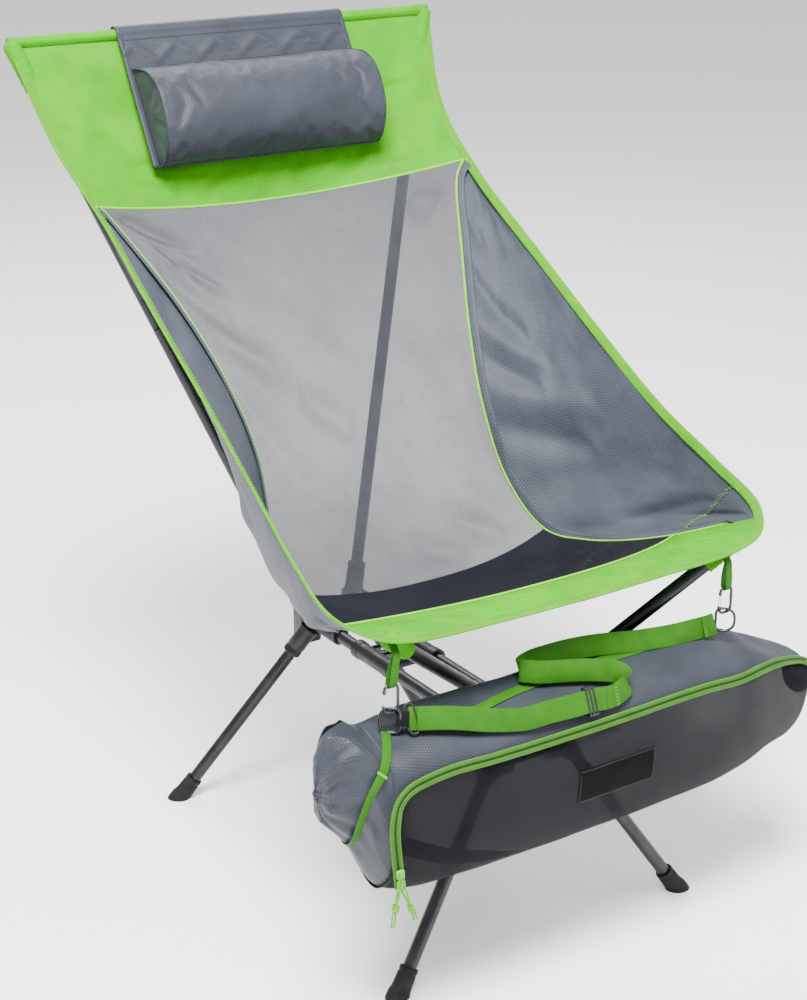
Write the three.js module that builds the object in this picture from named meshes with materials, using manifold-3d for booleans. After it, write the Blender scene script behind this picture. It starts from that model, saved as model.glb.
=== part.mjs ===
// Ultralight high-back camping chair: a shock-corded pole frame, a sewn sling with a headrest pillow,
// and its carry sack clipped under the front edge of the seat.
// Millimetres, +Z up, the sitter faces -Y, and +X is on the sitter's left hand. The origin is on the
// ground under the middle of the chair. Everything on the -X side is called left, as seen from the front.
import * as THREE from "three";
import { mergeVertices } from "three/addons/utils/BufferGeometryUtils.js";
import Module from "manifold-3d";

const wasm = await Module();
wasm.setup();

// ---------- driving dimensions ----------
const GAP = 0.4; // clearance between pieces that touch
const POLE_R = 8;
const POLE_BORE_R = 7;
const FIT_R = POLE_R + GAP; // bore that takes a pole
const SOCKET_R = 12;
const SOCKET_DEPTH = 36;
const CLOTH = 2; // thickness of the sewn cloth
const BINDING_WIDTH = 12;
const BINDING_THICK = 4;
const STRAP_WIDTH = 25;
const STRAP_THICK = 2;

const SPINE_X = 33; // half the spacing of the two spine poles
const SPINE_Z = 248;
const SPINE_FRONT_Y = -246;
const SPINE_REAR_Y = 128;

// Each pole starts at a hub and runs to its far end. Points are for the right side.
const FRONT_LEG = { from: [38, -262, 250], to: [205, -305, 0] };
const REAR_LEG = { from: [40, 150, 242], to: [200, 232, 0] };
const FRONT_POLE = { from: [38, -256, 300], to: [235, -333, 459] };
const REAR_POLE = { from: [38, 172, 262], to: [299, 397, 979] };
const REAR_JOINT = 410; // where the two sections of a rear pole meet
const SPIGOT_LENGTH = 40;
const FRONT_POCKET = 40; // depth of the cloth cups that take the pole tips
const REAR_POCKET = 62;

const HEM_Y = 396; // axis of the rolled hem along the top edge
const HEM_Z = 978;
const HEM_R = 6.5;
const HEM_HALF = 290;

const PILLOW_HALF = 163;
const LOOP_X = { left: -242, right: 214 }; // the two webbing loops that carry the sack
const LOOP_Y = -349;
const CLIP_TOP_Z = 415; // wire of the carabiner inside its webbing loop
const SACK_Y = -349;
const SACK_START_X = -334;
const SACK_END_X = 334;
const WINDOW_START_X = -264; // where the sack's netting window begins
const WINDOW_TOP_Z = 311; // height of its upper edge at x = 0
const WINDOW_FALL = THREE.MathUtils.degToRad(1.7); // slope of that edge, down to the right

// ---------- looks ----------
const LOOKS = {
  pole: { color: 0x4a4b50, roughness: 0.38, metalness: 0.85 },
  plastic: { color: 0x1c1d20, roughness: 0.5, metalness: 0 },
  rubber: { color: 0x232326, roughness: 0.85, metalness: 0 },
  green: { color: 0x7ddb1e, roughness: 0.75, metalness: 0 },
  slate: { color: 0x5c6672, roughness: 0.7, metalness: 0 },
  net: { color: 0xa9aab0, roughness: 0.8, metalness: 0 },
  dark_net: { color: 0x33353b, roughness: 0.8, metalness: 0 },
  webbing: { color: 0x58ad22, roughness: 0.8, metalness: 0 },
  elastic: { color: 0x18181a, roughness: 0.9, metalness: 0 },
  wire: { color: 0xc8cacf, roughness: 0.25, metalness: 1 },
};

// ---------- small helpers ----------
const SIDES = { left: -1, right: 1 };
const vec = (x, y, z) => new THREE.Vector3(x, y, z);
const onSide = (point, side) => vec(point[0] * side, point[1], point[2]);
const curveOf = (points, closed = false) =>
  new THREE.CatmullRomCurve3(points.map((p) => vec(...p)), closed, "centripetal");

const chair = new THREE.Group();

function add(name, geometry, look) {
  const mesh = new THREE.Mesh(geometry, new THREE.MeshStandardMaterial(LOOKS[look]));
  mesh.name = name;
  chair.add(mesh);
  return mesh;
}

// The line of a pole on one side: its start, its direction and points along it.
function lineOf(pole, side) {
  const start = onSide(pole.from, side);
  const end = onSide(pole.to, side);
  const direction = end.clone().sub(start).normalize();
  const at = (distance) => start.clone().addScaledVector(direction, distance);
  return { direction, at, length: start.distanceTo(end) };
}

// Bare welded geometry, turned inside out if its faces point inwards.
function outward(geometry) {
  const bare = geometry.clone();
  bare.deleteAttribute("normal");
  bare.deleteAttribute("uv");
  const made = mergeVertices(bare, 1e-4);
  const place = made.getAttribute("position");
  const order = made.index.array;
  const a = vec();
  const b = vec();
  const c = vec();
  let volume = 0;
  for (let i = 0; i < order.length; i += 3) {
    a.fromBufferAttribute(place, order[i]);
    b.fromBufferAttribute(place, order[i + 1]);
    c.fromBufferAttribute(place, order[i + 2]);
    volume += a.dot(b.cross(c));
  }
  if (volume < 0) {
    for (let i = 0; i < order.length; i += 3) {
      const swapped = order[i + 1];
      order[i + 1] = order[i + 2];
      order[i + 2] = swapped;
    }
  }
  return made;
}

function solidOf(geometry) {
  const made = outward(geometry);
  return new wasm.Manifold(
    new wasm.Mesh({
      numProp: 3,
      vertProperties: new Float32Array(made.getAttribute("position").array),
      triVerts: new Uint32Array(made.index.array),
    }),
  );
}

// The largest piece of a solid, as a geometry with flat faces.
function geometryOf(solid) {
  const pieces = solid.decompose().sort((a, b) => b.volume() - a.volume());
  const mesh = pieces[0].getMesh();
  const geometry = new THREE.BufferGeometry();
  geometry.setAttribute("position", new THREE.BufferAttribute(mesh.vertProperties, 3));
  geometry.setIndex(new THREE.BufferAttribute(mesh.triVerts, 1));
  return geometry;
}

const joined = (solids) => solids.reduce((a, b) => a.add(b));
const cutFrom = (solid, cutters) => cutters.reduce((a, b) => a.subtract(b), solid);

// Turns a geometry made along +Y so that it starts at a point and runs along a direction.
function laid(geometry, start, direction) {
  const turn = new THREE.Quaternion().setFromUnitVectors(vec(0, 1, 0), direction);
  return geometry.applyQuaternion(turn).translate(start.x, start.y, start.z);
}

// A solid rod between two points.
function rod(start, end, radius, sides = 16) {
  const length = start.distanceTo(end);
  const geometry = new THREE.CylinderGeometry(radius, radius, length, sides);
  geometry.translate(0, length / 2, 0);
  return solidOf(laid(geometry, start, end.clone().sub(start).normalize()));
}

function block(centre, size) {
  const geometry = new THREE.BoxGeometry(...size);
  return solidOf(geometry.translate(centre.x, centre.y, centre.z));
}

// A piece turned about a pole's line, from a profile of [radius, distance] points.
function turned(name, line, profile, look, sides = 16) {
  const points = profile.map(([radius, distance]) => new THREE.Vector2(radius, distance));
  const mesh = add(name, outward(new THREE.LatheGeometry(points, sides)), look);
  mesh.quaternion.setFromUnitVectors(vec(0, 1, 0), line.direction);
  mesh.position.copy(line.at(0));
  return mesh;
}

function pipeProfile(start, end, outer = POLE_R, inner = POLE_BORE_R) {
  return [[inner, start], [outer, start], [outer, end], [inner, end], [inner, start]];
}

// A closed solid through rings of points, all with the same count, capped at both ends.
function loft(rings) {
  const count = rings[0].length;
  const points = rings.flat();
  const faces = [];
  for (let i = 0; i + 1 < rings.length; i += 1) {
    for (let j = 0; j < count; j += 1) {
      const a = i * count + j;
      const b = i * count + ((j + 1) % count);
      faces.push(a, b, b + count, a, b + count, a + count);
    }
  }
  for (const [first, flip] of [[0, true], [(rings.length - 1) * count, false]]) {
    for (let j = 1; j + 1 < count; j += 1) {
      faces.push(first, first + (flip ? j + 1 : j), first + (flip ? j : j + 1));
    }
  }
  return closedOf(points, faces);
}

function closedOf(points, faces) {
  const geometry = new THREE.BufferGeometry().setFromPoints(points);
  geometry.setIndex(faces);
  return outward(geometry);
}

// A closed sheet of cloth over surface(u, v), thickened evenly to both sides.
function sheet(surface, rows, columns, thickness = CLOTH) {
  const step = 1e-3;
  const layers = [[], []];
  for (let i = 0; i <= rows; i += 1) {
    for (let j = 0; j <= columns; j += 1) {
      const u = i / rows;
      const w = j / columns;
      const along = surface(Math.min(u + step, 1), w).sub(surface(Math.max(u - step, 0), w));
      const across = surface(u, Math.min(w + step, 1)).sub(surface(u, Math.max(w - step, 0)));
      const normal = along.cross(across).normalize().multiplyScalar(thickness / 2);
      layers[0].push(surface(u, w).add(normal));
      layers[1].push(surface(u, w).sub(normal));
    }
  }
  const under = layers[0].length;
  const id = (i, j) => i * (columns + 1) + j;
  const faces = [];
  const wall = (a, b) => faces.push(b, a, a + under, b, a + under, b + under);
  for (let i = 0; i < rows; i += 1) {
    for (let j = 0; j < columns; j += 1) {
      const [a, b, c, d] = [id(i, j), id(i + 1, j), id(i + 1, j + 1), id(i, j + 1)];
      faces.push(a, b, c, a, c, d);
      faces.push(a + under, c + under, b + under, a + under, d + under, c + under);
    }
    wall(id(i, 0), id(i + 1, 0));
    wall(id(i + 1, columns), id(i, columns));
  }
  for (let j = 0; j < columns; j += 1) {
    wall(id(rows, j), id(rows, j + 1));
    wall(id(0, j + 1), id(0, j));
  }
  return closedOf(layers.flat(), faces);
}

// A strip with a rectangular section along points, its thickness along each point's normal.
function strip(points, normals, width, thickness) {
  const rings = points.map((point, i) => {
    const before = points[Math.max(i - 1, 0)];
    const after = points[Math.min(i + 1, points.length - 1)];
    const along = after.clone().sub(before).normalize();
    const normal = normals[i].clone().addScaledVector(along, -normals[i].dot(along)).normalize();
    const across = along.cross(normal).normalize();
    const corner = (a, b) =>
      point.clone().addScaledVector(across, (a * width) / 2).addScaledVector(normal, (b * thickness) / 2);
    return [corner(-1, -1), corner(1, -1), corner(1, 1), corner(-1, 1)];
  });
  return loft(rings);
}

// ---------- frame ----------
function addLeg(end, pole, side, label) {
  const line = lineOf(pole, side);
  const top = 10;
  const bootTop = line.length - 34;
  const tubeEnd = line.length - 12;
  turned(`leg_${end}_${label}`, line, pipeProfile(top, tubeEnd), "pole");
  const cord = [[0, top + 6], [1.6, top + 6], [1.6, bootTop + 10], [0, bootTop + 10]];
  turned(`shock_cord_${end}_${label}`, line, cord, "elastic", 8);

  const boot = [
    [FIT_R, bootTop],
    [10.6, bootTop],
    [11.2, bootTop + 20],
    [13.4, bootTop + 31],
    [13.4, bootTop + 42],
    [0, bootTop + 42],
    [0, tubeEnd + GAP],
    [FIT_R, tubeEnd + GAP],
    [FIT_R, bootTop],
  ].map(([radius, distance]) => new THREE.Vector2(radius, distance));
  const rubber = solidOf(laid(new THREE.LatheGeometry(boot, 16), line.at(0), line.direction));
  const ground = block(vec(0, 0, -50), [1000, 1000, 100]);
  add(`foot_${end}_${label}`, geometryOf(rubber.subtract(ground)), "rubber");
}

function socketOn(line, start) {
  return rod(line.at(start), line.at(start + SOCKET_DEPTH + 10), SOCKET_R);
}

function boreOf(line, start) {
  return rod(line.at(start), line.at(start + SOCKET_DEPTH + 40), FIT_R);
}

const CROSS_BAR_R = 7;
const CROSS_BAR_HALF = 31;
const HUB_INNER_X = 24;

function crossBar(name, y, z) {
  const line = { direction: vec(1, 0, 0), at: () => vec(0, y, z) };
  turned(name, line, pipeProfile(-CROSS_BAR_HALF, CROSS_BAR_HALF, CROSS_BAR_R, 6), "pole");
  return rod(vec(-CROSS_BAR_HALF - GAP, y, z), vec(CROSS_BAR_HALF + GAP, y, z), CROSS_BAR_R + GAP);
}

const FRONT_BAR = crossBar("front_cross_bar", -262, 226);
const REAR_BAR = crossBar("rear_cross_bar", 174, 238);

for (const [label, side] of Object.entries(SIDES)) {
  const spine = (y, reach = 0) => vec(side * (SPINE_X + reach), y, SPINE_Z);
  const spineLine = { direction: vec(0, 1, 0), at: () => spine(0) };
  turned(`spine_pole_${label}`, spineLine, pipeProfile(SPINE_FRONT_Y, SPINE_REAR_Y), "pole");

  const frontLeg = lineOf(FRONT_LEG, side);
  const frontPole = lineOf(FRONT_POLE, side);
  const frontHub = joined([
    rod(spine(-262), spine(-203), 12.5),
    block(vec(side * (HUB_INNER_X + 13), -262, 259), [26, 28, 90]),
    socketOn(frontLeg, 0),
    socketOn(frontPole, -8),
  ]);
  const frontBores = [
    rod(spine(SPINE_FRONT_Y - GAP), spine(-190), FIT_R),
    boreOf(frontLeg, 9),
    boreOf(frontPole, 3),
    FRONT_BAR,
  ];
  add(`front_hub_${label}`, geometryOf(cutFrom(frontHub, frontBores)), "plastic");

  const rearLeg = lineOf(REAR_LEG, side);
  const rearPole = lineOf(REAR_POLE, side);
  const rearHub = joined([
    rod(spine(88), spine(176), 12.5),
    block(vec(side * (HUB_INNER_X + 13), 166, 243), [26, 36, 54]),
    socketOn(rearLeg, 0),
    socketOn(rearPole, -4),
  ]);
  const rearBores = [
    rod(spine(80), spine(SPINE_REAR_Y + GAP), FIT_R),
    boreOf(rearLeg, 9),
    boreOf(rearPole, 5),
    REAR_BAR,
  ];
  add(`rear_hub_${label}`, geometryOf(cutFrom(rearHub, rearBores)), "plastic");

  addLeg("front", FRONT_LEG, side, label);
  addLeg("rear", REAR_LEG, side, label);

  const frontEnd = frontPole.length;
  turned(`front_pole_${label}`, frontPole, pipeProfile(6, frontEnd - 8), "pole");
  turned(`front_tip_${label}`, frontPole, tipProfile(frontEnd), "plastic", 12);
  turned(`front_pocket_${label}`, frontPole, pocketProfile(frontEnd, FRONT_POCKET), "green", 12);

  const rearEnd = rearPole.length;
  turned(`rear_pole_lower_${label}`, rearPole, pipeProfile(8, REAR_JOINT - GAP), "pole");
  const upper = [
    [5.6, REAR_JOINT - SPIGOT_LENGTH],
    [6.6, REAR_JOINT - SPIGOT_LENGTH],
    [6.6, REAR_JOINT],
    [POLE_R, REAR_JOINT],
    [POLE_R, rearEnd - 8],
    [POLE_BORE_R, rearEnd - 8],
    [POLE_BORE_R, REAR_JOINT + 4],
    [5.6, REAR_JOINT + 4],
    [5.6, REAR_JOINT - SPIGOT_LENGTH],
  ];
  turned(`rear_pole_upper_${label}`, rearPole, upper, "pole");
  turned(`rear_tip_${label}`, rearPole, tipProfile(rearEnd), "plastic", 12);
  turned(`rear_pocket_${label}`, rearPole, pocketProfile(rearEnd, REAR_POCKET), "green", 12);
}

// A moulded plug in the end of a pole, with a round nose.
function tipProfile(end) {
  const shoulder = end - 8 + GAP;
  return [
    [0, end - 24],
    [6.5, end - 24],
    [6.5, shoulder],
    [POLE_R, shoulder],
    [POLE_R, end - 4],
    [5.5, end - 1],
    [0, end],
  ];
}

// A sewn cup of cloth that takes the tip of a pole, open towards the hub.
function pocketProfile(end, depth) {
  const inner = POLE_R + 0.8;
  const outer = inner + CLOTH;
  return [
    [inner, end - depth],
    [outer, end - depth],
    [outer, end + 1],
    [0, end + 3],
    [0, end + 1],
    [inner, end - 1],
    [inner, end - depth],
  ];
}

// The room that a pocket takes, with its clearance, on both sides of the chair.
function pocketRoom(pole, depth) {
  return Object.values(SIDES).map((side) => {
    const line = lineOf(pole, side);
    return rod(line.at(line.length - depth - 2), line.at(line.length + 5), POLE_R + 0.8 + CLOTH + 1.2);
  });
}

const FRONT_ROOM = pocketRoom(FRONT_POLE, FRONT_POCKET);
const REAR_ROOM = pocketRoom(REAR_POLE, REAR_POCKET);

// The clamp that ties the two spine poles together half way.
const BRIDGE = joined([
  rod(vec(-SPINE_X, -35, SPINE_Z), vec(-SPINE_X, 48, SPINE_Z), SOCKET_R),
  rod(vec(SPINE_X, -35, SPINE_Z), vec(SPINE_X, 48, SPINE_Z), SOCKET_R),
  block(vec(0, 6, SPINE_Z), [2 * SPINE_X, 66, 14]),
]);
const BRIDGE_BORES = [-SPINE_X, SPINE_X].map((x) =>
  rod(vec(x, -60, SPINE_Z), vec(x, 70, SPINE_Z), FIT_R),
);
add("spine_bridge", geometryOf(cutFrom(BRIDGE, BRIDGE_BORES)), "plastic");

// ---------- sling ----------
// Outer edge of the sling on the right, from the top corner to the middle of the front edge, and
// beside each point the way into the cloth.
const EDGE = [
  { at: [304, 396, 980], into: [-1, 0, -0.3] },
  { at: [282, 327, 865], into: [-1, 0.1, -0.2] },
  { at: [271, 222, 789], into: [-0.8, 0.4, -0.45] },
  { at: [274, 85, 704], into: [-0.76, 0.46, -0.44] },
  { at: [276, -37, 631], into: [-0.62, 0.66, -0.42] },
  { at: [281, -146, 567], into: [-0.5, 0.8, -0.33] },
  { at: [290, -242, 521], into: [-0.42, 0.76, -0.5] },
  { at: [291, -312, 491], into: [-0.5, 0.65, -0.57] },
  { at: [262, -350, 472], into: [-0.3, 0.95, -0.1] },
  { at: [222, -358, 462], into: [0, 1, 0] },
  { at: [110, -357, 456], into: [0, 1, 0.05] },
  { at: [1, -355, 453], into: [0, 1, 0.05] },
];
const EDGE_CURVE = curveOf(EDGE.map((row) => row.at));
const INTO_CURVE = curveOf(EDGE.map((row) => row.into));
const edgePoint = (place) => EDGE_CURVE.getPoint(place / (EDGE.length - 1));
const edgeInto = (place) => INTO_CURVE.getPoint(place / (EDGE.length - 1)).normalize();

// The directions along the edge, into the cloth and out of its face at a place along the edge.
function edgeFrame(place) {
  const step = 0.05;
  const last = EDGE.length - 1;
  const along = edgePoint(Math.min(place + step, last)).sub(edgePoint(Math.max(place - step, 0))).normalize();
  const into = edgeInto(place);
  into.addScaledVector(along, -into.dot(along)).normalize();
  return { into, normal: along.cross(into) };
}

const insideEdge = (place) => edgePoint(place).addScaledVector(edgeFrame(place).into, BINDING_WIDTH + 1.5);

// The seam between a side panel and the netting, on the right, from the top panel to the front band.
const SEAM = curveOf([
  [248, 243, 783],
  [208, 170, 700],
  [177, 105, 607],
  [165, 59, 530],
  [172, 15, 445],
  [187, -45, 393],
  [205, -110, 395],
  [236, -202, 422],
  [270, -294, 463],
]);
const CREASE = 5 / 8; // place along the seam where the back becomes the seat
const SEAT_CORNER = 0.91; // place along the seam where the front band meets it

const BACK_MIDDLE = curveOf([[0, 300, 762], [0, 215, 672], [0, 118, 566], [0, 20, 458], [0, -61, 377]]);
const SEAT_MIDDLE = curveOf([[0, -68, 370], [0, -150, 384], [0, -230, 418], [0, -297, 453]]);

// A point of a cloth that spans from side to side: flat in the middle and rising to its edges.
function spanned(middle, edge, across, flatness) {
  const lift = Math.abs(across) ** flatness;
  const point = middle.clone().lerp(vec(0, edge.y, edge.z), lift);
  point.x = across * edge.x;
  return point;
}

function spanSheet(name, middleAt, edgeAt, look, rows, flatness, room = []) {
  const surface = (u, w) => spanned(middleAt(u), edgeAt(u), 2 * w - 1, flatness);
  const made = solidOf(sheet(surface, rows, 12));
  add(name, geometryOf(cutFrom(made, room)), look);
}

const SEAM_MARGIN = 2;
function besideSeam(place) {
  const point = SEAM.getPoint(place);
  point.x -= SEAM_MARGIN;
  return point;
}

spanSheet(
  "back_netting",
  (u) => BACK_MIDDLE.getPoint(u),
  (u) => besideSeam(u * (CREASE - 0.01)),
  "net",
  12,
  2.4,
);
spanSheet(
  "seat_netting",
  (u) => SEAT_MIDDLE.getPoint(u),
  (u) => besideSeam(CREASE + 0.012 + u * (SEAT_CORNER - CREASE - 0.012)),
  "dark_net",
  7,
  2.4,
  FRONT_ROOM,
);

const TOP_MIDDLE = curveOf([[0, 389, 962], [0, 345, 868], [0, 305, 770]]);
const TOP_SIDE = curveOf([[282, 388, 960], [268, 330, 866], [255, 268, 806]]);
spanSheet("top_panel", (u) => TOP_MIDDLE.getPoint(u), (u) => TOP_SIDE.getPoint(u), "green", 8, 2, REAR_ROOM);

// The front band: its back edge follows the seat netting to the seam, then the seam to the corner.
const BAND_BACK_MIDDLE = vec(0, -304, 456);
const BAND_FRONT_MIDDLE = vec(0, -341, 454);
const BAND_FRONT_SIDE = vec(236, -338, 466);
const BAND_TURN = 0.86; // share of the half width at which the back edge reaches the seam
const BAND_GAP = 5;

function bandPoint(u, w) {
  const across = 2 * w - 1;
  const share = Math.abs(across);
  const front = spanned(BAND_FRONT_MIDDLE, BAND_FRONT_SIDE, across, 2.4);
  const corner = besideSeam(SEAT_CORNER).add(vec(0, -BAND_GAP, 0));
  if (share <= BAND_TURN) return spanned(BAND_BACK_MIDDLE, corner, across / BAND_TURN, 2.4).lerp(front, u);
  const past = (share - BAND_TURN) / (1 - BAND_TURN);
  const back = SEAM.getPoint(SEAT_CORNER + past * (0.965 - SEAT_CORNER)).add(vec(-SEAM_MARGIN, -BAND_GAP, 0));
  back.x *= Math.sign(across);
  return back.lerp(front, u);
}
add("front_band", geometryOf(cutFrom(solidOf(sheet(bandPoint, 4, 28)), FRONT_ROOM)), "green");

const HEM = rod(vec(-HEM_HALF, HEM_Y, HEM_Z), vec(HEM_HALF, HEM_Y, HEM_Z), HEM_R, 12);
add("top_hem", geometryOf(cutFrom(HEM, REAR_ROOM)), "green");
const HEM_ROOM = rod(vec(-HEM_HALF - 1, HEM_Y, HEM_Z), vec(HEM_HALF + 1, HEM_Y, HEM_Z), HEM_R + GAP, 12);

const PANEL_START = 1.78; // places along the edge between which a side panel runs
const PANEL_END = 7.2;
const BINDING_START = 0.15;
const BINDING_STEPS = 40;

for (const [label, side] of Object.entries(SIDES)) {
  const toSide = (point) => vec(point.x * side, point.y, point.z);
  const panel = (u, w) => {
    const outer = insideEdge(PANEL_START + u * (PANEL_END - PANEL_START));
    const seam = SEAM.getPoint(u * 0.985);
    const inner = seam.addScaledVector(outer.clone().sub(seam).normalize(), SEAM_MARGIN);
    return toSide(outer.lerp(inner, w));
  };
  const cloth = solidOf(sheet(panel, 14, 4));
  add(`side_panel_${label}`, geometryOf(cutFrom(cloth, FRONT_ROOM)), "slate");

  const rings = [];
  for (let i = 0; i <= BINDING_STEPS; i += 1) {
    const place = BINDING_START + (i / BINDING_STEPS) * (EDGE.length - 1 - BINDING_START);
    rings.push(bindingRing(place).map(toSide));
  }
  const binding = solidOf(loft(rings));
  add(`edge_binding_${label}`, geometryOf(cutFrom(binding, [...FRONT_ROOM, ...REAR_ROOM, HEM_ROOM])), "green");
}

// Six-sided section of the edge binding at a place along the edge.
function bindingRing(place) {
  const { into, normal } = edgeFrame(place);
  const half = BINDING_THICK / 2;
  const flat = BINDING_WIDTH - 2;
  const section = [[0, 0], [3, half], [flat, half], [BINDING_WIDTH, 0], [flat, -half], [3, -half]];
  return section.map(([inwards, up]) =>
    edgePoint(place).addScaledVector(into, inwards).addScaledVector(normal, up),
  );
}

// ---------- pillow ----------
// A stuffed bolster on a flap that hooks over the rolled hem. Its section is drawn in Y and Z.
function pillowSection() {
  const wrapOuter = HEM_R + 3.6;
  const wrapInner = HEM_R + 1.2;
  const steps = 10;
  const arc = (radius, degrees) => {
    const angle = THREE.MathUtils.degToRad(degrees);
    return new THREE.Vector2(HEM_Y + radius * Math.cos(angle), HEM_Z + radius * Math.sin(angle));
  };
  const outline = [];
  for (let i = 0; i <= steps; i += 1) outline.push(arc(wrapOuter, (180 * i) / steps));
  const start = arc(wrapOuter, 180);
  const down = new THREE.Vector2(-0.5, -0.866);
  const out = new THREE.Vector2(-0.866, 0.5);
  const front = [[44, 0.5], [56, 26], [78, 50], [106, 60], [134, 54], [158, 32], [172, 8]];
  for (const [along, proud] of front) {
    outline.push(start.clone().addScaledVector(down, along).addScaledVector(out, proud));
  }
  outline.push(start.clone().addScaledVector(down, 174).addScaledVector(out, -2.6));
  outline.push(start.clone().addScaledVector(down, 5).addScaledVector(out, -2.6));
  for (let i = steps; i >= 0; i -= 1) outline.push(arc(wrapInner, (180 * i) / steps));
  return outline;
}

// A solid extruded along X from an outline in Y and Z.
function extrudedAlongX(outline, halfWidth) {
  const geometry = new THREE.ExtrudeGeometry(new THREE.Shape(outline), {
    depth: 2 * halfWidth,
    bevelEnabled: false,
  });
  const axes = new THREE.Matrix4().makeBasis(vec(0, 1, 0), vec(0, 0, 1), vec(1, 0, 0));
  return outward(geometry.translate(0, 0, -halfWidth).applyMatrix4(axes));
}

add("pillow", extrudedAlongX(pillowSection(), PILLOW_HALF), "slate");

// ---------- carry sack ----------
const CLIP_HEIGHT = 30.6; // between the wire centres of a carabiner
const CLIP_WIDTH = 16.6;
const CLIP_WIRE_R = 1.7;
const CLIP_CORNER_R = 4.6;
const LOOP_WIDTH = 6;
const LOOP_ROOM = 2.7; // half the gap inside a webbing loop
const LOOP_TOP_Z = 443;
const GATE_HALF = 7;
const RING_WIRE_R = 1.6;
const RING_HALF = 13.4;
const RING_TURN = THREE.MathUtils.degToRad(-38);
const RING_TOP_Z = CLIP_TOP_Z - CLIP_HEIGHT + CLIP_WIRE_R + RING_WIRE_R + GAP;

// A wire bent along a path of points.
function wire(points, radius) {
  const circle = new THREE.Shape().absarc(0, 0, radius, 0, 2 * Math.PI, false);
  const path = new THREE.CatmullRomCurve3(points, false, "centripetal");
  return new THREE.ExtrudeGeometry(circle, {
    steps: points.length * 2,
    curveSegments: 4,
    extrudePath: path,
    bevelEnabled: false,
  });
}

// A closed ring of wire, made as rings of points round a flat closed path.
function closedWire(path, radius, normal, steps) {
  const rings = [];
  for (let i = 0; i < steps; i += 1) {
    const centre = path.getPointAt(i / steps);
    const along = path.getTangentAt(i / steps);
    const side = along.clone().cross(normal).normalize();
    const ring = [];
    for (let j = 0; j < 8; j += 1) {
      const angle = (j * Math.PI) / 4;
      ring.push(
        centre.clone()
          .addScaledVector(side, radius * Math.cos(angle))
          .addScaledVector(normal, radius * Math.sin(angle)),
      );
    }
    rings.push(ring);
  }
  const faces = [];
  for (let i = 0; i < steps; i += 1) {
    for (let j = 0; j < 8; j += 1) {
      const a = i * 8 + j;
      const b = i * 8 + ((j + 1) % 8);
      const c = ((i + 1) % steps) * 8 + ((j + 1) % 8);
      const d = ((i + 1) % steps) * 8 + j;
      faces.push(a, b, c, a, c, d);
    }
  }
  return closedOf(rings.flat(), faces);
}

// Outline of the stadium that a webbing loop follows, in X and Z.
function stadium(halfWidth, bottom, top) {
  const shape = new THREE.Shape();
  shape.moveTo(-halfWidth, top);
  shape.lineTo(-halfWidth, bottom + halfWidth);
  shape.absarc(0, bottom + halfWidth, halfWidth, Math.PI, 2 * Math.PI, false);
  shape.lineTo(halfWidth, top);
  shape.absarc(0, top, halfWidth, 0, Math.PI, false);
  return shape;
}

function addClip(label, side) {
  const x = LOOP_X[label];
  const centreZ = CLIP_TOP_Z - CLIP_HEIGHT / 2;

  const loopBottom = CLIP_TOP_Z - CLIP_WIRE_R - GAP;
  const outer = stadium(LOOP_ROOM + CLOTH, loopBottom - CLOTH, LOOP_TOP_Z);
  outer.holes.push(stadium(LOOP_ROOM, loopBottom, LOOP_TOP_Z));
  const loop = new THREE.ExtrudeGeometry(outer, { depth: LOOP_WIDTH, curveSegments: 6, bevelEnabled: false });
  const axes = new THREE.Matrix4().makeBasis(vec(0, 1, 0), vec(0, 0, 1), vec(1, 0, 0));
  loop.applyMatrix4(axes);
  add(`webbing_loop_${label}`, outward(loop), "webbing").position.set(x - LOOP_WIDTH / 2, LOOP_Y, 0);

  const w = CLIP_WIDTH / 2;
  const h = CLIP_HEIGHT / 2;
  const r = CLIP_CORNER_R;
  const diagonal = r * (1 - Math.SQRT1_2);
  const bend = [
    [-w, -GATE_HALF - 1.2],
    [-w + diagonal, -h + diagonal],
    [-w + r, -h],
    [w - r, -h],
    [w - diagonal, -h + diagonal],
    [w, -h + r],
    [w, h - r],
    [w - diagonal, h - diagonal],
    [w - r, h],
    [-w + r, h],
    [-w + diagonal, h - diagonal],
    [-w, GATE_HALF + 1.2],
  ].map(([u, z]) => vec(u, 0, z));
  add(`carabiner_${label}`, outward(wire(bend, CLIP_WIRE_R)), "plastic").position.set(x, LOOP_Y, centreZ);

  const gate = new THREE.CylinderGeometry(1.1, 1.1, 2 * GATE_HALF, 8);
  gate.rotateX(Math.PI / 2).translate(0, 0, GATE_HALF);
  const gateMesh = add(`carabiner_gate_${label}`, outward(gate), "wire");
  gateMesh.position.set(x - w, LOOP_Y, centreZ - GATE_HALF);

  // The D-ring hangs in the carabiner, its straight bar towards the middle of the sack.
  const across = vec(Math.cos(RING_TURN), Math.sin(RING_TURN), 0);
  const normal = vec(-Math.sin(RING_TURN), Math.cos(RING_TURN), 0);
  const middle = vec(x, LOOP_Y, RING_TOP_Z - RING_HALF);
  const outline = [[-9, -10], [-9, 10], [-6, 13.4], [3, 13.4], [10, 9], [12, 0], [10, -9], [3, -13.4], [-6, -13.4]];
  const path = new THREE.CatmullRomCurve3(
    outline.map(([u, z]) => middle.clone().addScaledVector(across, side * u).add(vec(0, 0, z))),
    true,
    "centripetal",
  );
  add(`d_ring_${label}`, closedWire(path, RING_WIRE_R, normal, 20), "plastic");
}

for (const [label, side] of Object.entries(SIDES)) addClip(label, side);

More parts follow.
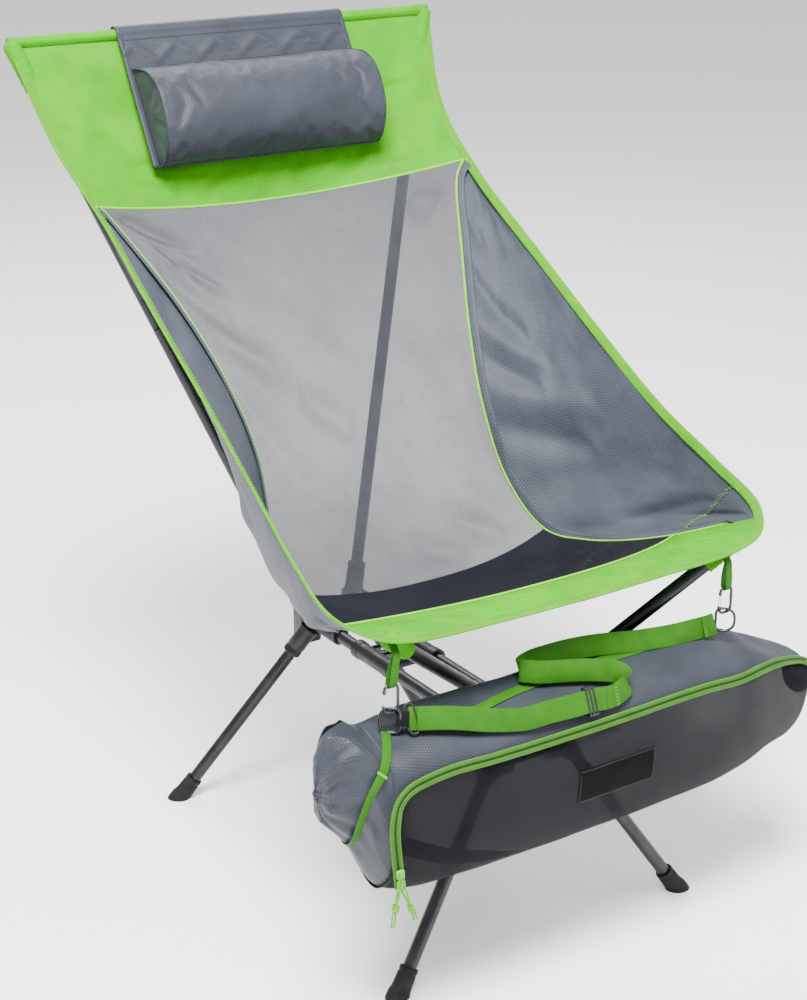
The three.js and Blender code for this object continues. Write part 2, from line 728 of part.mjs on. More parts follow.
// Sections of the sack along X: the height of the middle, then the share of the full depth and height.
// The left end is gathered and turned up.
const SACK_STATIONS = [
  [SACK_START_X, 318, 0.2, 0.26],
  [-315, 321, 0.4, 0.54],
  [-290, 304, 0.64, 0.74],
  [-262, 271, 0.88, 0.9],
  [-235, 267, 0.95, 0.96],
  [-205, 266, 0.98, 1],
  [-150, 263, 1, 1],
  [0, 262, 1, 1],
  [150, 264, 1, 1],
  [225, 260, 0.93, 0.87],
  [268, 258, 0.84, 0.73],
  [306, 249, 0.72, 0.66],
  [SACK_END_X, 263, 0.48, 0.4],
];
// The full section, in Y and Z from its middle, round from the back of the top.
const SACK_SECTION = new THREE.CatmullRomCurve3(
  [[40, 101], [10, 98], [-36, 79], [-54, 36], [-53, -24], [-35, -70], [-5, -92], [28, -78], [46, -30], [49, 30], [49, 75]]
    .map(([y, z]) => vec(0, y, z)),
  true,
  "centripetal",
);
const SECTION_SIDES = 20;

function stationAt(x) {
  const next = Math.max(1, SACK_STATIONS.findIndex((row) => row[0] >= x));
  const before = SACK_STATIONS[next - 1];
  const after = SACK_STATIONS[next];
  const share = (x - before[0]) / (after[0] - before[0]);
  return before.map((value, i) => THREE.MathUtils.lerp(value, after[i], share));
}

// A point on the sack, and the way out of it, at a place round its section.
function sackPoint(x, round, proud = 0) {
  const [, middleZ, deep, tall] = stationAt(x);
  const point = SACK_SECTION.getPointAt(round);
  const along = SACK_SECTION.getTangentAt(round);
  const out = vec(0, -along.z * tall, along.y * deep).normalize();
  if (out.dot(point) < 0) out.negate();
  return {
    at: vec(x, SACK_Y + point.y * deep, middleZ + point.z * tall).addScaledVector(out, proud),
    out,
  };
}

function sackRing(x, proud) {
  const ring = [];
  for (let i = 0; i < SECTION_SIDES; i += 1) ring.push(sackPoint(x, i / SECTION_SIDES, proud).at);
  return ring;
}

const stationsX = SACK_STATIONS.map((row) => row[0]);
const sackOuter = solidOf(loft(stationsX.map((x) => sackRing(x, 0))));
const innerX = [SACK_START_X + CLOTH, ...stationsX.slice(1, -1), SACK_END_X - CLOTH];
const sackInner = solidOf(loft(innerX.map((x) => sackRing(x, -CLOTH))));
const sackShell = sackOuter.subtract(sackInner);

// All of the sack below the zip is netting, in front and behind.
function windowCutter(grow) {
  const height = 300;
  const geometry = new THREE.BoxGeometry(700, 300, height);
  geometry.translate(WINDOW_START_X + 350 - grow, 0, -height / 2 + grow).rotateY(WINDOW_FALL);
  return solidOf(geometry.translate(0, SACK_Y, WINDOW_TOP_Z));
}
const WINDOW_SEAM = 1;
add("sack_shell", geometryOf(sackShell.subtract(windowCutter(WINDOW_SEAM))), "slate");
add("sack_netting", geometryOf(sackShell.intersect(windowCutter(-WINDOW_SEAM))), "dark_net");

// The zip runs straight up the left end of the window, turns, and runs along its top.
const ZIP_WIDTH = 16;
const ZIP_THICK = 2.4;
const ZIP_PROUD = 4.2;
const ZIP_LOW_END = { at: vec(-260, -393, 205), out: vec(-0.2, -1, 0) };
const ZIP_HIGH_END = { at: vec(-272, -403, 288), out: vec(-0.2, -1, 0) };
// Places on the sack that the zip passes after its straight run: X, then the place round the section.
const ZIP_PLACES = [
  [-264, 0.25],
  [-251, 0.222],
  [-232, 0.212],
  [-197, 0.207],
  [-150, 0.205],
  [-100, 0.205],
  [-50, 0.205],
  [0, 0.205],
  [50, 0.205],
  [100, 0.205],
  [150, 0.205],
  [199, 0.2],
  [240, 0.18],
  [268, 0.165],
  [300, 0.15],
];
const zipRow = [ZIP_LOW_END, ZIP_HIGH_END, ...ZIP_PLACES.map(([x, round]) => sackPoint(x, round, ZIP_PROUD))];
const zipPoints = zipRow.map((row) => row.at);
const zipNormals = zipRow.map((row) => row.out);
add("zip", strip(zipPoints, zipNormals, ZIP_WIDTH, ZIP_THICK), "green");

// Two zip sliders wait at the lower end of the zip, on its straight run.
const zipUp = zipPoints[1].clone().sub(zipPoints[0]).normalize();
const zipOut = ZIP_LOW_END.out.clone().addScaledVector(zipUp, -zipUp.dot(ZIP_LOW_END.out)).normalize();
const zipAcross = zipUp.clone().cross(zipOut);
function addSlider(name, distance) {
  const size = [9, 11, 4.4];
  const geometry = new THREE.BoxGeometry(...size);
  const axes = new THREE.Matrix4().makeBasis(zipAcross, zipUp, zipAcross.clone().cross(zipUp));
  const proud = ZIP_THICK / 2 + GAP + size[2] / 2;
  const centre = zipPoints[0].clone().addScaledVector(zipUp, distance).addScaledVector(zipOut, proud);
  add(name, outward(geometry.applyMatrix4(axes)), "plastic").position.copy(centre);
}
addSlider("zip_slider_lower", 8);
addSlider("zip_slider_upper", 22);

// Shoulder strap: from one D-ring to the other, folded twice on top of the sack.
const STRAP_ROUTE = curveOf([
  [-222, -359, 376],
  [-184, -372, 371],
  [-140, -382, 361],
  [-100, -387.3, 353.1],
  [-72, -388.5, 352.5],
  [-40, -389.9, 351.8],
  [-8, -391.3, 351.1],
  [20, -392.5, 350.5],
  [42, -386, 357],
  [38, -374, 364],
  [10, -364, 371],
  [-25, -354, 375],
  [-56, -344, 378],
  [-67, -335, 380],
  [-48, -326, 381],
  [-5, -325, 381],
  [49, -329, 378],
  [97, -339, 374],
  [139, -345, 372.5],
  [183, -344, 370],
  [198, -344.5, 370],
]);
const STRAP_STEPS = 64;
const strapPoints = STRAP_ROUTE.getPoints(STRAP_STEPS);
const STRAP_LEAN = THREE.MathUtils.degToRad(22);
const strapUp = vec(0, Math.sin(STRAP_LEAN), Math.cos(STRAP_LEAN));
const strapNormals = strapPoints.map((_, i) => STRAP_ROUTE.getTangent(i / STRAP_STEPS).cross(strapUp).normalize());
add("shoulder_strap", strip(strapPoints, strapNormals, STRAP_WIDTH, STRAP_THICK), "webbing");

// The strap adjuster is a flat sleeve round the front run of the strap.
const ADJUSTER_AT = vec(-14, -391, 351.2);
const ADJUSTER_LENGTH = 12;
const ADJUSTER_ROOM = 1.2;
const ADJUSTER_WALL = 2;
function addAdjuster() {
  const wide = STRAP_WIDTH + 2 * ADJUSTER_ROOM;
  const thick = STRAP_THICK + 2 * ADJUSTER_ROOM;
  const sleeve = block(vec(0, 0, 0), [ADJUSTER_LENGTH, thick + 2 * ADJUSTER_WALL, wide + 2 * ADJUSTER_WALL]);
  const slot = block(vec(0, 0, 0), [2 * ADJUSTER_LENGTH, thick, wide]);
  const mesh = add("strap_adjuster", geometryOf(sleeve.subtract(slot)), "plastic");
  mesh.rotation.x = -STRAP_LEAN;
  mesh.position.copy(ADJUSTER_AT);
}
addAdjuster();

export default chair;
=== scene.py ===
"""Ultralight high-back camping chair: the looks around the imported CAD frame, in metres.

The sitter faces -Y, +X is on the sitter's left hand, and the ground is z = 0. As in the CAD, everything on
the -X side is called left. The sling's curves and the routes of its straps repeat those of part.mjs.
"""

import math

import bmesh
import bpy
import numpy as np
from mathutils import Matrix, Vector, noise


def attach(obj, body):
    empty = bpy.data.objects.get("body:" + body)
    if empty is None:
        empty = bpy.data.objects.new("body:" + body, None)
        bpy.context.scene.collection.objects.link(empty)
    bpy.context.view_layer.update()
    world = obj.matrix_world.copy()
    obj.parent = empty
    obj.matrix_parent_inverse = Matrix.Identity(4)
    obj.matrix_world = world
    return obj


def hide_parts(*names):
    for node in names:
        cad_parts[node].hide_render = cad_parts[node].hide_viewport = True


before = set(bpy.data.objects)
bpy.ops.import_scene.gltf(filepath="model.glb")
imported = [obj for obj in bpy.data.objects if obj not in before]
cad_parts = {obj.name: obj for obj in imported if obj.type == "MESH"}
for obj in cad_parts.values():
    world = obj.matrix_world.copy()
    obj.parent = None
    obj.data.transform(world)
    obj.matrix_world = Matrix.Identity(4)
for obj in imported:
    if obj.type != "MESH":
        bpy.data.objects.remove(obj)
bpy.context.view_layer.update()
MM = 0.001
SIDES = {"left": -1, "right": 1}


# ---------------------------------------------------------------- small tools
def unit(v):
    """Rows of v scaled to length 1."""
    v = np.asarray(v, float)
    return v / np.maximum(np.linalg.norm(v, axis=-1, keepdims=True), 1e-12)


def run_along(points):
    """Distance along a row of points from its first."""
    return np.concatenate([[0], np.cumsum(np.linalg.norm(np.diff(points, axis=0), axis=1))])


class Curve:
    """Centripetal Catmull-Rom curve through points, read by a place from 0 to 1."""

    def __init__(self, points, closed=False):
        p = np.asarray(points, float)
        if closed:
            self.p = np.vstack([p[-1], p, p[0], p[1]])
        else:
            self.p = np.vstack([2 * p[0] - p[1], p, 2 * p[-1] - p[-2]])
        self.spans = len(self.p) - 3

    def __call__(self, place):
        t = np.clip(np.atleast_1d(np.asarray(place, float)), 0, 1) * self.spans
        i = np.minimum(t.astype(int), self.spans - 1)
        w = (t - i)[:, None]
        p0, p1, p2, p3 = (self.p[i + k] for k in range(4))
        d0, d1, d2 = (
            np.maximum(np.linalg.norm(b - a, axis=1), 1e-9)[:, None] ** 0.5 for a, b in ((p0, p1), (p1, p2), (p2, p3))
        )
        m1 = ((p1 - p0) / d0 - (p2 - p0) / (d0 + d1) + (p2 - p1) / d1) * d1
        m2 = ((p2 - p1) / d1 - (p3 - p1) / (d1 + d2) + (p3 - p2) / d2) * d1
        made = p1 + w * (m1 + w * (3 * (p2 - p1) - 2 * m1 - m2 + w * (2 * (p1 - p2) + m1 + m2)))
        return made[0] if np.isscalar(place) else made

    def along(self, place, step=0.002):
        """Direction of the curve at each place."""
        place = np.atleast_1d(np.asarray(place, float))
        return unit(self(np.minimum(place + step, 1)) - self(np.maximum(place - step, 0)))

    def even(self, count):
        """Places that lie evenly along the curve's length."""
        fine = np.linspace(0, 1, 600)
        points = self(fine)
        run = run_along(points)
        return np.interp(np.linspace(0, run[-1], count), run, fine)


def mm(*rows):
    """Rows written in millimetres, as metres."""
    return np.array(rows, float) * MM


def mesh_object(name, verts, faces, material, uv=None, smooth=True):
    data = bpy.data.meshes.new(name)
    data.from_pydata([tuple(v) for v in verts], [], [tuple(int(i) for i in f) for f in faces])
    data.validate()
    if uv is not None:
        layer = data.uv_layers.new(name="cloth")
        loops = np.array([loop.vertex_index for loop in data.loops])
        layer.data.foreach_set("uv", np.asarray(uv, float)[loops].ravel())
    data.polygons.foreach_set("use_smooth", [smooth] * len(data.polygons))
    data.materials.append(material)
    obj = bpy.data.objects.new(name, data)
    bpy.context.scene.collection.objects.link(obj)
    return obj


def grid_faces(rows, columns, closed=False):
    """Quads of a grid with rows x columns points; closed joins the last column to the first."""
    faces = []
    last = columns if closed else columns - 1
    for i in range(rows - 1):
        for j in range(last):
            k = (j + 1) % columns
            faces.append((i * columns + j, i * columns + k, (i + 1) * columns + k, (i + 1) * columns + j))
    return faces


def grid_uv(grid):
    """UVs in metres: arc length along each row and column, averaged."""
    across = np.zeros(grid.shape[:2])
    across[:, 1:] = np.cumsum(np.linalg.norm(np.diff(grid, axis=1), axis=2), axis=1)
    down = np.zeros(grid.shape[:2])
    down[1:] = np.cumsum(np.linalg.norm(np.diff(grid, axis=0), axis=2), axis=0)
    across -= across.mean(axis=1, keepdims=True)
    return np.stack([across, down], axis=2).reshape(-1, 2)


def sheet_object(name, grid, material, thickness=0.8 * MM):
    """A sheet of cloth over a grid of points, with a real thickness."""
    rows, columns = grid.shape[:2]
    obj = mesh_object(name, grid.reshape(-1, 3), grid_faces(rows, columns), material, grid_uv(grid))
    if thickness:
        solid = obj.modifiers.new("thickness", "SOLIDIFY")
        solid.thickness = thickness
        solid.offset = 0
    return obj


def frames_along(points, normals=None):
    """Directions along, across and out for a row of points, without twisting."""
    along = unit(np.gradient(points, axis=0))
    if normals is None:
        normals = np.empty_like(points)
        start = np.array([0, 0, 1.0]) if abs(along[0, 2]) < 0.9 else np.array([1.0, 0, 0])
        current = start
        for i, t in enumerate(along):
            current = unit(current - t * (current @ t))
            normals[i] = current
    normals = unit(normals - along * np.sum(normals * along, axis=1, keepdims=True))
    return along, np.cross(along, normals), normals


def ribbed(name, points, section, material, normals=None, scale=None):
    """A closed section of (across, out) points swept along a row of points, with flat caps.

    normals is one direction or a row of them; scale is a row of sizes, or of (across, out) sizes.
    """
    points = np.asarray(points, float)
    section = np.asarray(section, float)
    _, across, out = frames_along(points, normals)
    scale = np.ones((len(points), 2)) if scale is None else np.asarray(scale, float).reshape(len(points), -1)
    if scale.shape[1] == 1:
        scale = np.repeat(scale, 2, axis=1)
    rings = (
        points[:, None] + across[:, None] * (section[None, :, :1] * scale[:, None, :1]) + out[:, None]
        * (section[None, :, 1:] * scale[:, None, 1:])
    )
    count = len(section)
    verts = list(rings.reshape(-1, 3))
    faces = grid_faces(len(points), count, closed=True)
    run = run_along(points)
    edge = run_along(section)
    uv = [(e, r) for r in run for e in edge]
    for first, ring, turn in ((0, rings[0], -1), ((len(points) - 1) * count, rings[-1], 1)):
        verts.append(ring.mean(axis=0))
        uv.append((0, 0))
        centre = len(verts) - 1
        for j in range(count):
            a, b = first + j, first + (j + 1) % count
            faces.append((a, b, centre) if turn > 0 else (b, a, centre))
    return mesh_object(name, verts, faces, material, uv)


def circle(radius, sides=16, flat=1.0):
    angles = np.arange(sides) * 2 * math.pi / sides
    return np.stack([radius * np.cos(angles), radius * flat * np.sin(angles)], axis=1)


def band(width, thickness, sides=4):
    """Section of a flat strap with rounded edges, sides points on each rounding."""
    r = thickness / 2
    w = width / 2 - r
    right = [(w + r * math.cos(a), r * math.sin(a)) for a in np.linspace(-math.pi / 2, math.pi / 2, sides)]
    left = [(-w - r * math.cos(a), -r * math.sin(a)) for a in np.linspace(-math.pi / 2, math.pi / 2, sides)]
    return np.array(right + left)


def profile_from(at, *rows):
    """Profile rows of (radius, distance past at), written in millimetres."""
    return [(radius * MM, at + distance * MM) for radius, distance in rows]


def turned(name, start, direction, profile, material, sides=40):
    """A piece turned about a line, from a profile of (radius, distance) rows."""
    direction = unit(direction)
    side = unit(np.cross(direction, [0.3, 0.2, 0.9]))
    up = np.cross(direction, side)
    angles = np.arange(sides) * 2 * math.pi / sides
    ring = np.cos(angles)[:, None] * side + np.sin(angles)[:, None] * up
    profile = np.asarray(profile, float)
    rings = start + profile[:, None, 1:] * direction + profile[:, None, :1] * ring[None]
    obj = mesh_object(name, rings.reshape(-1, 3), grid_faces(len(profile), sides, closed=True), material)
    weld(obj)
    return obj


def weld(obj, distance=1e-5):
    """Joins points that lie on each other, and turns the faces outwards."""
    work = bmesh.new()
    work.from_mesh(obj.data)
    bmesh.ops.remove_doubles(work, verts=work.verts, dist=distance)
    bmesh.ops.dissolve_degenerate(work, edges=work.edges, dist=distance)
    bmesh.ops.recalc_face_normals(work, faces=work.faces)
    work.to_mesh(obj.data)
    work.free()


def crisp(obj, degrees=35):
    """Smooth shading with sharp edges kept where faces meet at more than this angle."""
    limit = math.radians(degrees)
    work = bmesh.new()
    work.from_mesh(obj.data)
    for edge in work.edges:
        if len(edge.link_faces) == 2:
            edge.smooth = edge.calc_face_angle(0) < limit
    work.to_mesh(obj.data)
    work.free()
    return obj


def rounded(obj, width=0.6 * MM, segments=2):
    """Bevelled edges, so that they catch the light."""
    bevel = obj.modifiers.new("edges", "BEVEL")
    bevel.width = width
    bevel.segments = segments
    bevel.limit_method = "ANGLE"
    bevel.angle_limit = math.radians(40)
    return obj


def settle(obj, subdivision=0):
    """Applies every modifier, after an optional subdivision surface."""
    if subdivision:
        smooth = obj.modifiers.new("smooth", "SUBSURF")
        smooth.levels = smooth.render_levels = subdivision
    graph = bpy.context.evaluated_depsgraph_get()
    made = bpy.data.meshes.new_from_object(obj.evaluated_get(graph), depsgraph=graph)
    obj.modifiers.clear()
    old, obj.data = obj.data, made
    bpy.data.meshes.remove(old)
    return obj


def joined(name, pieces):
    """One object from several, with their own materials kept."""
    bpy.ops.object.select_all(action="DESELECT")
    for piece in pieces:
        piece.select_set(True)
    bpy.context.view_layer.objects.active = pieces[0]
    bpy.ops.object.join()
    pieces[0].name = name
    pieces[0].data.name = name
    return pieces[0]


def wear(obj, body, slot, *nodes):
    """Rides a piece on a body and hides the CAD nodes that it stands for; slot is not used."""
    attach(obj, body)
    if nodes:
        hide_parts(*nodes)
    return obj


# ---------------------------------------------------------------- materials
class Shader:
    """A node material under construction."""

    def __init__(self, name, **shader):
        self.material = bpy.data.materials.new(name)
        self.material.use_nodes = True
        self.tree = self.material.node_tree
        self.principled = self.tree.nodes["Principled BSDF"]
        for socket, value in shader.items():
            self.principled.inputs[socket.replace("_", " ")].default_value = value

    def node(self, kind, **values):
        made = self.tree.nodes.new(kind)
        for key, value in values.items():
            if hasattr(made, key):
                setattr(made, key, value)
            else:
                made.inputs[key].default_value = value
        return made

    def link(self, source, target):
        self.tree.links.new(source, target)

    def math(self, operation, first, second=None, clamp=False):
        made = self.node("ShaderNodeMath", operation=operation, use_clamp=clamp)
        for socket, value in zip(made.inputs, (first, second)):
            if value is None:
                continue
            if isinstance(value, (int, float)):
                socket.default_value = value
            else:
                self.link(value, socket)
        return made.outputs[0]

    def place(self, cloth):
        """Coordinates in metres: the cloth's own UVs, or the object's."""
        if cloth:
            return self.node("ShaderNodeUVMap", uv_map="cloth").outputs["UV"]
        return self.node("ShaderNodeTexCoord").outputs["Object"]

    def noise(self, vector, scale, detail=4.0, roughness=0.55):
        made = self.node("ShaderNodeTexNoise", Scale=scale, Detail=detail, Roughness=roughness)
        self.link(vector, made.inputs["Vector"])
        return made.outputs["Fac"]

    def colours(self, fac, *stops):
        """Colour ramp over fac, from (place, colour) stops."""
        ramp = self.node("ShaderNodeValToRGB")
        elements = ramp.color_ramp.elements
        while len(elements) < len(stops):
            elements.new(0.5)
        for element, (place, colour) in zip(elements, stops):
            element.position = place
            element.color = (*colour, 1)
        self.link(fac, ramp.inputs["Fac"])
        return ramp.outputs["Color"]

    def span(self, fac, low, high, new_low, new_high):
        made = self.node("ShaderNodeMapRange")
        for socket, value in zip(("From Min", "From Max", "To Min", "To Max"), (low, high, new_low, new_high)):
            made.inputs[socket].default_value = value
        self.link(fac, made.inputs["Value"])
        return made.outputs["Result"]

    def waves(self, vector, pitch, directions):
        """Sum of cosines along directions, from -n to n: dots on a lattice, or ribs for one direction."""
        total = None
        for angle in directions:
            along = (math.cos(angle), math.sin(angle), 0)
            dot = self.node("ShaderNodeVectorMath", operation="DOT_PRODUCT")
            self.link(vector, dot.inputs[0])
            dot.inputs[1].default_value = along
            wave = self.math("COSINE", self.math("MULTIPLY", dot.outputs["Value"], 2 * math.pi / pitch))
            total = wave if total is None else self.math("ADD", total, wave)
        return total

    def bump(self, height, distance, strength=1.0):
        made = self.node("ShaderNodeBump", Strength=strength, Distance=distance)
        self.link(height, made.inputs["Height"])
        previous = self.principled.inputs["Normal"]
        if previous.is_linked:
            self.link(previous.links[0].from_socket, made.inputs["Normal"])
        self.link(made.outputs["Normal"], previous)

    def feed(self, socket, value):
        self.link(value, self.principled.inputs[socket])


THREE_WAYS = (0, math.pi / 3, 2 * math.pi / 3)
TWO_WAYS = (0, math.pi / 2)
DOBBY_CELL = 3.6 * MM


def dobby_cloth(name, dark, light, sheen=0.05, roughness=0.55, specular=0.2):
    """Ripstop nylon with a raised honeycomb: fine weave, small cells, slow change of colour."""
    made = Shader(name, Sheen_Weight=sheen, Sheen_Roughness=0.45, Specular_IOR_Level=specular)
    place = made.place(cloth=True)
    cells = made.waves(place, DOBBY_CELL * 0.866, THREE_WAYS)
    weave = made.waves(place, 0.9 * MM, TWO_WAYS)
    patches = made.noise(place, 14, 3)
    fine = made.noise(place, 900, 2)
    tone = made.math(
        "ADD", made.span(cells, -1.5, 3, 0.32, 0.68),
        made.math("ADD", made.span(patches, 0.3, 0.7, -0.14, 0.14), made.span(fine, 0.3, 0.7, -0.12, 0.12))
    )
    made.feed("Base Color", made.colours(tone, (0.1, dark), (0.9, light)))
    made.feed("Roughness", made.span(cells, -1.5, 3, roughness + 0.1, roughness - 0.1))
    made.bump(cells, 0.1 * MM, 0.6)
    made.bump(weave, 0.05 * MM, 0.35)
    return made.material


def netting(name, dark, light, open_share):
    """Fine polyester netting: thread round tiny holes, closed up where the cloth bunches."""
    made = Shader(name, Roughness=0.75, Specular_IOR_Level=0.07)
    place = made.place(cloth=True)
    holes = made.waves(place, 1.7 * MM, THREE_WAYS)
    patches = made.noise(place, 9, 4)
    bunched = made.node("ShaderNodeAttribute", attribute_name="bunched").outputs["Fac"]
    tone = made.math("ADD", made.span(holes, -1.5, 3, 0.7, 0.3), made.span(patches, 0.3, 0.7, -0.2, 0.2))
    made.feed("Base Color", made.colours(tone, (0.1, dark), (0.9, light)))
    thread = made.span(holes, -1.5, 3, 1.06, 0.82)
    cover = made.math("MULTIPLY", thread, 1 - open_share)
    cover = made.math("ADD", cover, made.span(patches, 0.3, 0.7, -0.05, 0.05))
    cover = made.math("ADD", cover, made.math("MULTIPLY", bunched, 0.35), clamp=True)
    made.feed("Alpha", cover)
    made.bump(holes, 0.12 * MM, 0.5)
    return made.material


def webbing_cloth(name, dark, light, rib=1.5 * MM, specular=0.15):
    """Woven tape: ribs across, warp threads along, a soft sheen."""
    made = Shader(name, Sheen_Weight=0.02, Sheen_Roughness=0.4, Specular_IOR_Level=specular)
    place = made.place(cloth=True)
    ribs = made.waves(place, rib, (math.pi / 2,))
    warp = made.waves(place, 1.0 * MM, (0,))
    patches = made.noise(place, 40, 3)
    both = made.math("ADD", ribs, made.math("MULTIPLY", warp, 0.6))
    tone = made.math("ADD", made.span(both, -1.6, 1.6, 0.25, 0.75), made.span(patches, 0.3, 0.7, -0.15, 0.15))
    made.feed("Base Color", made.colours(tone, (0.1, dark), (0.9, light)))
    made.feed("Roughness", made.span(both, -1.6, 1.6, 0.72, 0.55))
    made.bump(both, 0.14 * MM, 0.8)
    return made.material


def anodised(name, dark, light):
    """Dark anodised tube: fine drawing lines, faint handling marks."""
    made = Shader(name, Metallic=0.85)
    place = made.place(cloth=False)
    marks = made.noise(place, 55, 6, 0.65)
    grain = made.noise(place, 900, 2)
    tone = made.math("ADD", made.span(marks, 0.35, 0.65, 0.3, 0.7), made.span(grain, 0.3, 0.7, -0.1, 0.1))
    made.feed("Base Color", made.colours(tone, (0.1, dark), (0.9, light)))
    made.feed("Roughness", made.span(marks, 0.35, 0.65, 0.3, 0.44))
    made.bump(grain, 0.02 * MM, 0.4)
    return made.material


def moulded(name, dark, light, roughness=0.42, specular=0.5):
    """Moulded plastic or rubber with a fine leathered grain."""
    made = Shader(name, Specular_IOR_Level=specular)
    place = made.place(cloth=False)
    cells = made.node("ShaderNodeTexVoronoi", Scale=1100.0)
    made.link(place, cells.inputs["Vector"])
    marks = made.noise(place, 80, 5)
    made.feed("Base Color", made.colours(marks, (0.3, dark), (0.7, light)))
    made.feed("Roughness", made.span(marks, 0.3, 0.7, roughness + 0.08, roughness - 0.08))
    made.bump(cells.outputs["Distance"], 0.06 * MM, 0.5)
    return made.material


def drawn_wire(name, colour, roughness):
    """Bright steel wire with a faint drawn grain."""
    made = Shader(name, Metallic=1.0)
    marks = made.noise(made.place(cloth=False), 300, 4)
    dark = tuple(0.75 * c for c in colour)
    made.feed("Base Color", made.colours(marks, (0.3, dark), (0.7, colour)))
    made.feed("Roughness", made.span(marks, 0.3, 0.7, roughness, roughness + 0.12))
    made.bump(marks, 0.02 * MM, 0.3)
    return made.material


GREEN = dobby_cloth("green_ripstop", (0.018, 0.165, 0.0), (0.078, 0.4, 0.0), sheen=0.0, specular=0.08)
SLATE = dobby_cloth(
    "slate_ripstop", (0.01, 0.0115, 0.0165), (0.042, 0.048, 0.064), sheen=0.04, roughness=0.46, specular=0.25
)
PANEL_SLATE = dobby_cloth(
    "slate_panel_ripstop", (0.02, 0.0235, 0.032), (0.068, 0.078, 0.101), sheen=0.05, specular=0.25
)
BINDING = webbing_cloth("green_binding", (0.03, 0.18, 0.0), (0.1, 0.38, 0.001), rib=1.1 * MM)
PIPING = webbing_cloth("light_green_piping", (0.11, 0.38, 0.006), (0.24, 0.62, 0.02), rib=1.2 * MM)
WEBBING = webbing_cloth("green_webbing", (0.008, 0.065, 0.0003), (0.028, 0.15, 0.001), rib=1.6 * MM)
BLACK_TAPE = webbing_cloth("black_tape", (0.002, 0.002, 0.0024), (0.01, 0.01, 0.012), rib=1.2 * MM, specular=0.06)
LIGHT_NET = netting("light_netting", (0.02, 0.021, 0.026), (0.06, 0.062, 0.072), open_share=0.42)
DARK_NET = netting("dark_netting", (0.002, 0.002, 0.004), (0.012, 0.013, 0.018), open_share=0.03)
SACK_NET = netting("sack_netting", (0.002, 0.002, 0.003), (0.009, 0.009, 0.012), open_share=0.4)
POLE = anodised("anodised_pole", (0.016, 0.0165, 0.018), (0.045, 0.046, 0.05))
PLASTIC = moulded("hub_plastic", (0.003, 0.003, 0.0035), (0.011, 0.011, 0.012), specular=0.3)
RUBBER = moulded("foot_rubber", (0.003, 0.003, 0.0035), (0.01, 0.01, 0.011), roughness=0.66, specular=0.2)
BLACK_METAL = moulded("black_clip", (0.006, 0.006, 0.007), (0.016, 0.016, 0.018), roughness=0.3)
STEEL = drawn_wire("steel_wire", (0.72, 0.73, 0.75), 0.22)
ZIP_GREEN = webbing_cloth("zip_green", (0.016, 0.075, 0.004), (0.05, 0.145, 0.013), rib=0.9 * MM)
ZIP_DARK = webbing_cloth("zip_groove", (0.004, 0.02, 0.002), (0.012, 0.05, 0.004), rib=0.9 * MM)
ZIP_METAL = moulded("zip_slider_paint", (0.06, 0.3, 0.01), (0.1, 0.42, 0.02), roughness=0.35)
CORD = webbing_cloth("pull_cord", (0.05, 0.22, 0.004), (0.12, 0.4, 0.015), rib=0.8 * MM)
LABEL = webbing_cloth("label_weave", (0.0005, 0.0005, 0.0006), (0.003, 0.003, 0.0035), rib=0.7 * MM, specular=0.03)
DARK_THREAD = moulded("dark_thread", (0.01, 0.012, 0.016), (0.03, 0.034, 0.042), roughness=0.7)
LABEL_THREAD = moulded("label_thread", (0.03, 0.03, 0.032), (0.06, 0.06, 0.064), roughness=0.7)
GREEN_THREAD = moulded("green_thread", (0.05, 0.26, 0.006), (0.09, 0.4, 0.015), roughness=0.7)
GREY_THREAD = moulded("grey_thread", (0.04, 0.05, 0.065), (0.1, 0.12, 0.15), roughness=0.7)
ELASTIC = webbing_cloth("elastic_cord", (0.008, 0.008, 0.008), (0.03, 0.03, 0.03), rib=1.2 * MM)


# ---------------------------------------------------------------- camera, light and floor
VIEW_AZIMUTH = math.radians(-33.482)
VIEW_HEIGHT = math.radians(20.816)
VIEW_DISTANCE = 2.3983
VIEW_LENS = 88.05
VIEW_TARGET = Vector((0.0043, 0, 0.4548))


def set_camera():
    data = bpy.data.cameras.new("camera")
    data.sensor_fit = "HORIZONTAL"
    data.sensor_width = 36
    data.lens = VIEW_LENS
    data.clip_end = 50
    camera = bpy.data.objects.new("camera", data)
    bpy.context.scene.collection.objects.link(camera)
    level = math.cos(VIEW_HEIGHT)
    back = Vector((math.sin(VIEW_AZIMUTH) * level, -math.cos(VIEW_AZIMUTH) * level, math.sin(VIEW_HEIGHT)))
    camera.location = VIEW_TARGET + back * VIEW_DISTANCE
    camera.rotation_euler = back.to_track_quat("Z", "Y").to_euler()
    bpy.context.scene.camera = camera


def area_light(name, location, size, power, colour=(1, 1, 1)):
    data = bpy.data.lights.new(name, "AREA")
    data.shape = "RECTANGLE"
    data.size, data.size_y = size
    data.energy = power
    data.color = colour
    light = bpy.data.objects.new(name, data)
    light.location = location
    light.rotation_euler = (Vector(location) - Vector((0, 0, 0.45))).to_track_quat("Z", "Y").to_euler()
    bpy.context.scene.collection.objects.link(light)


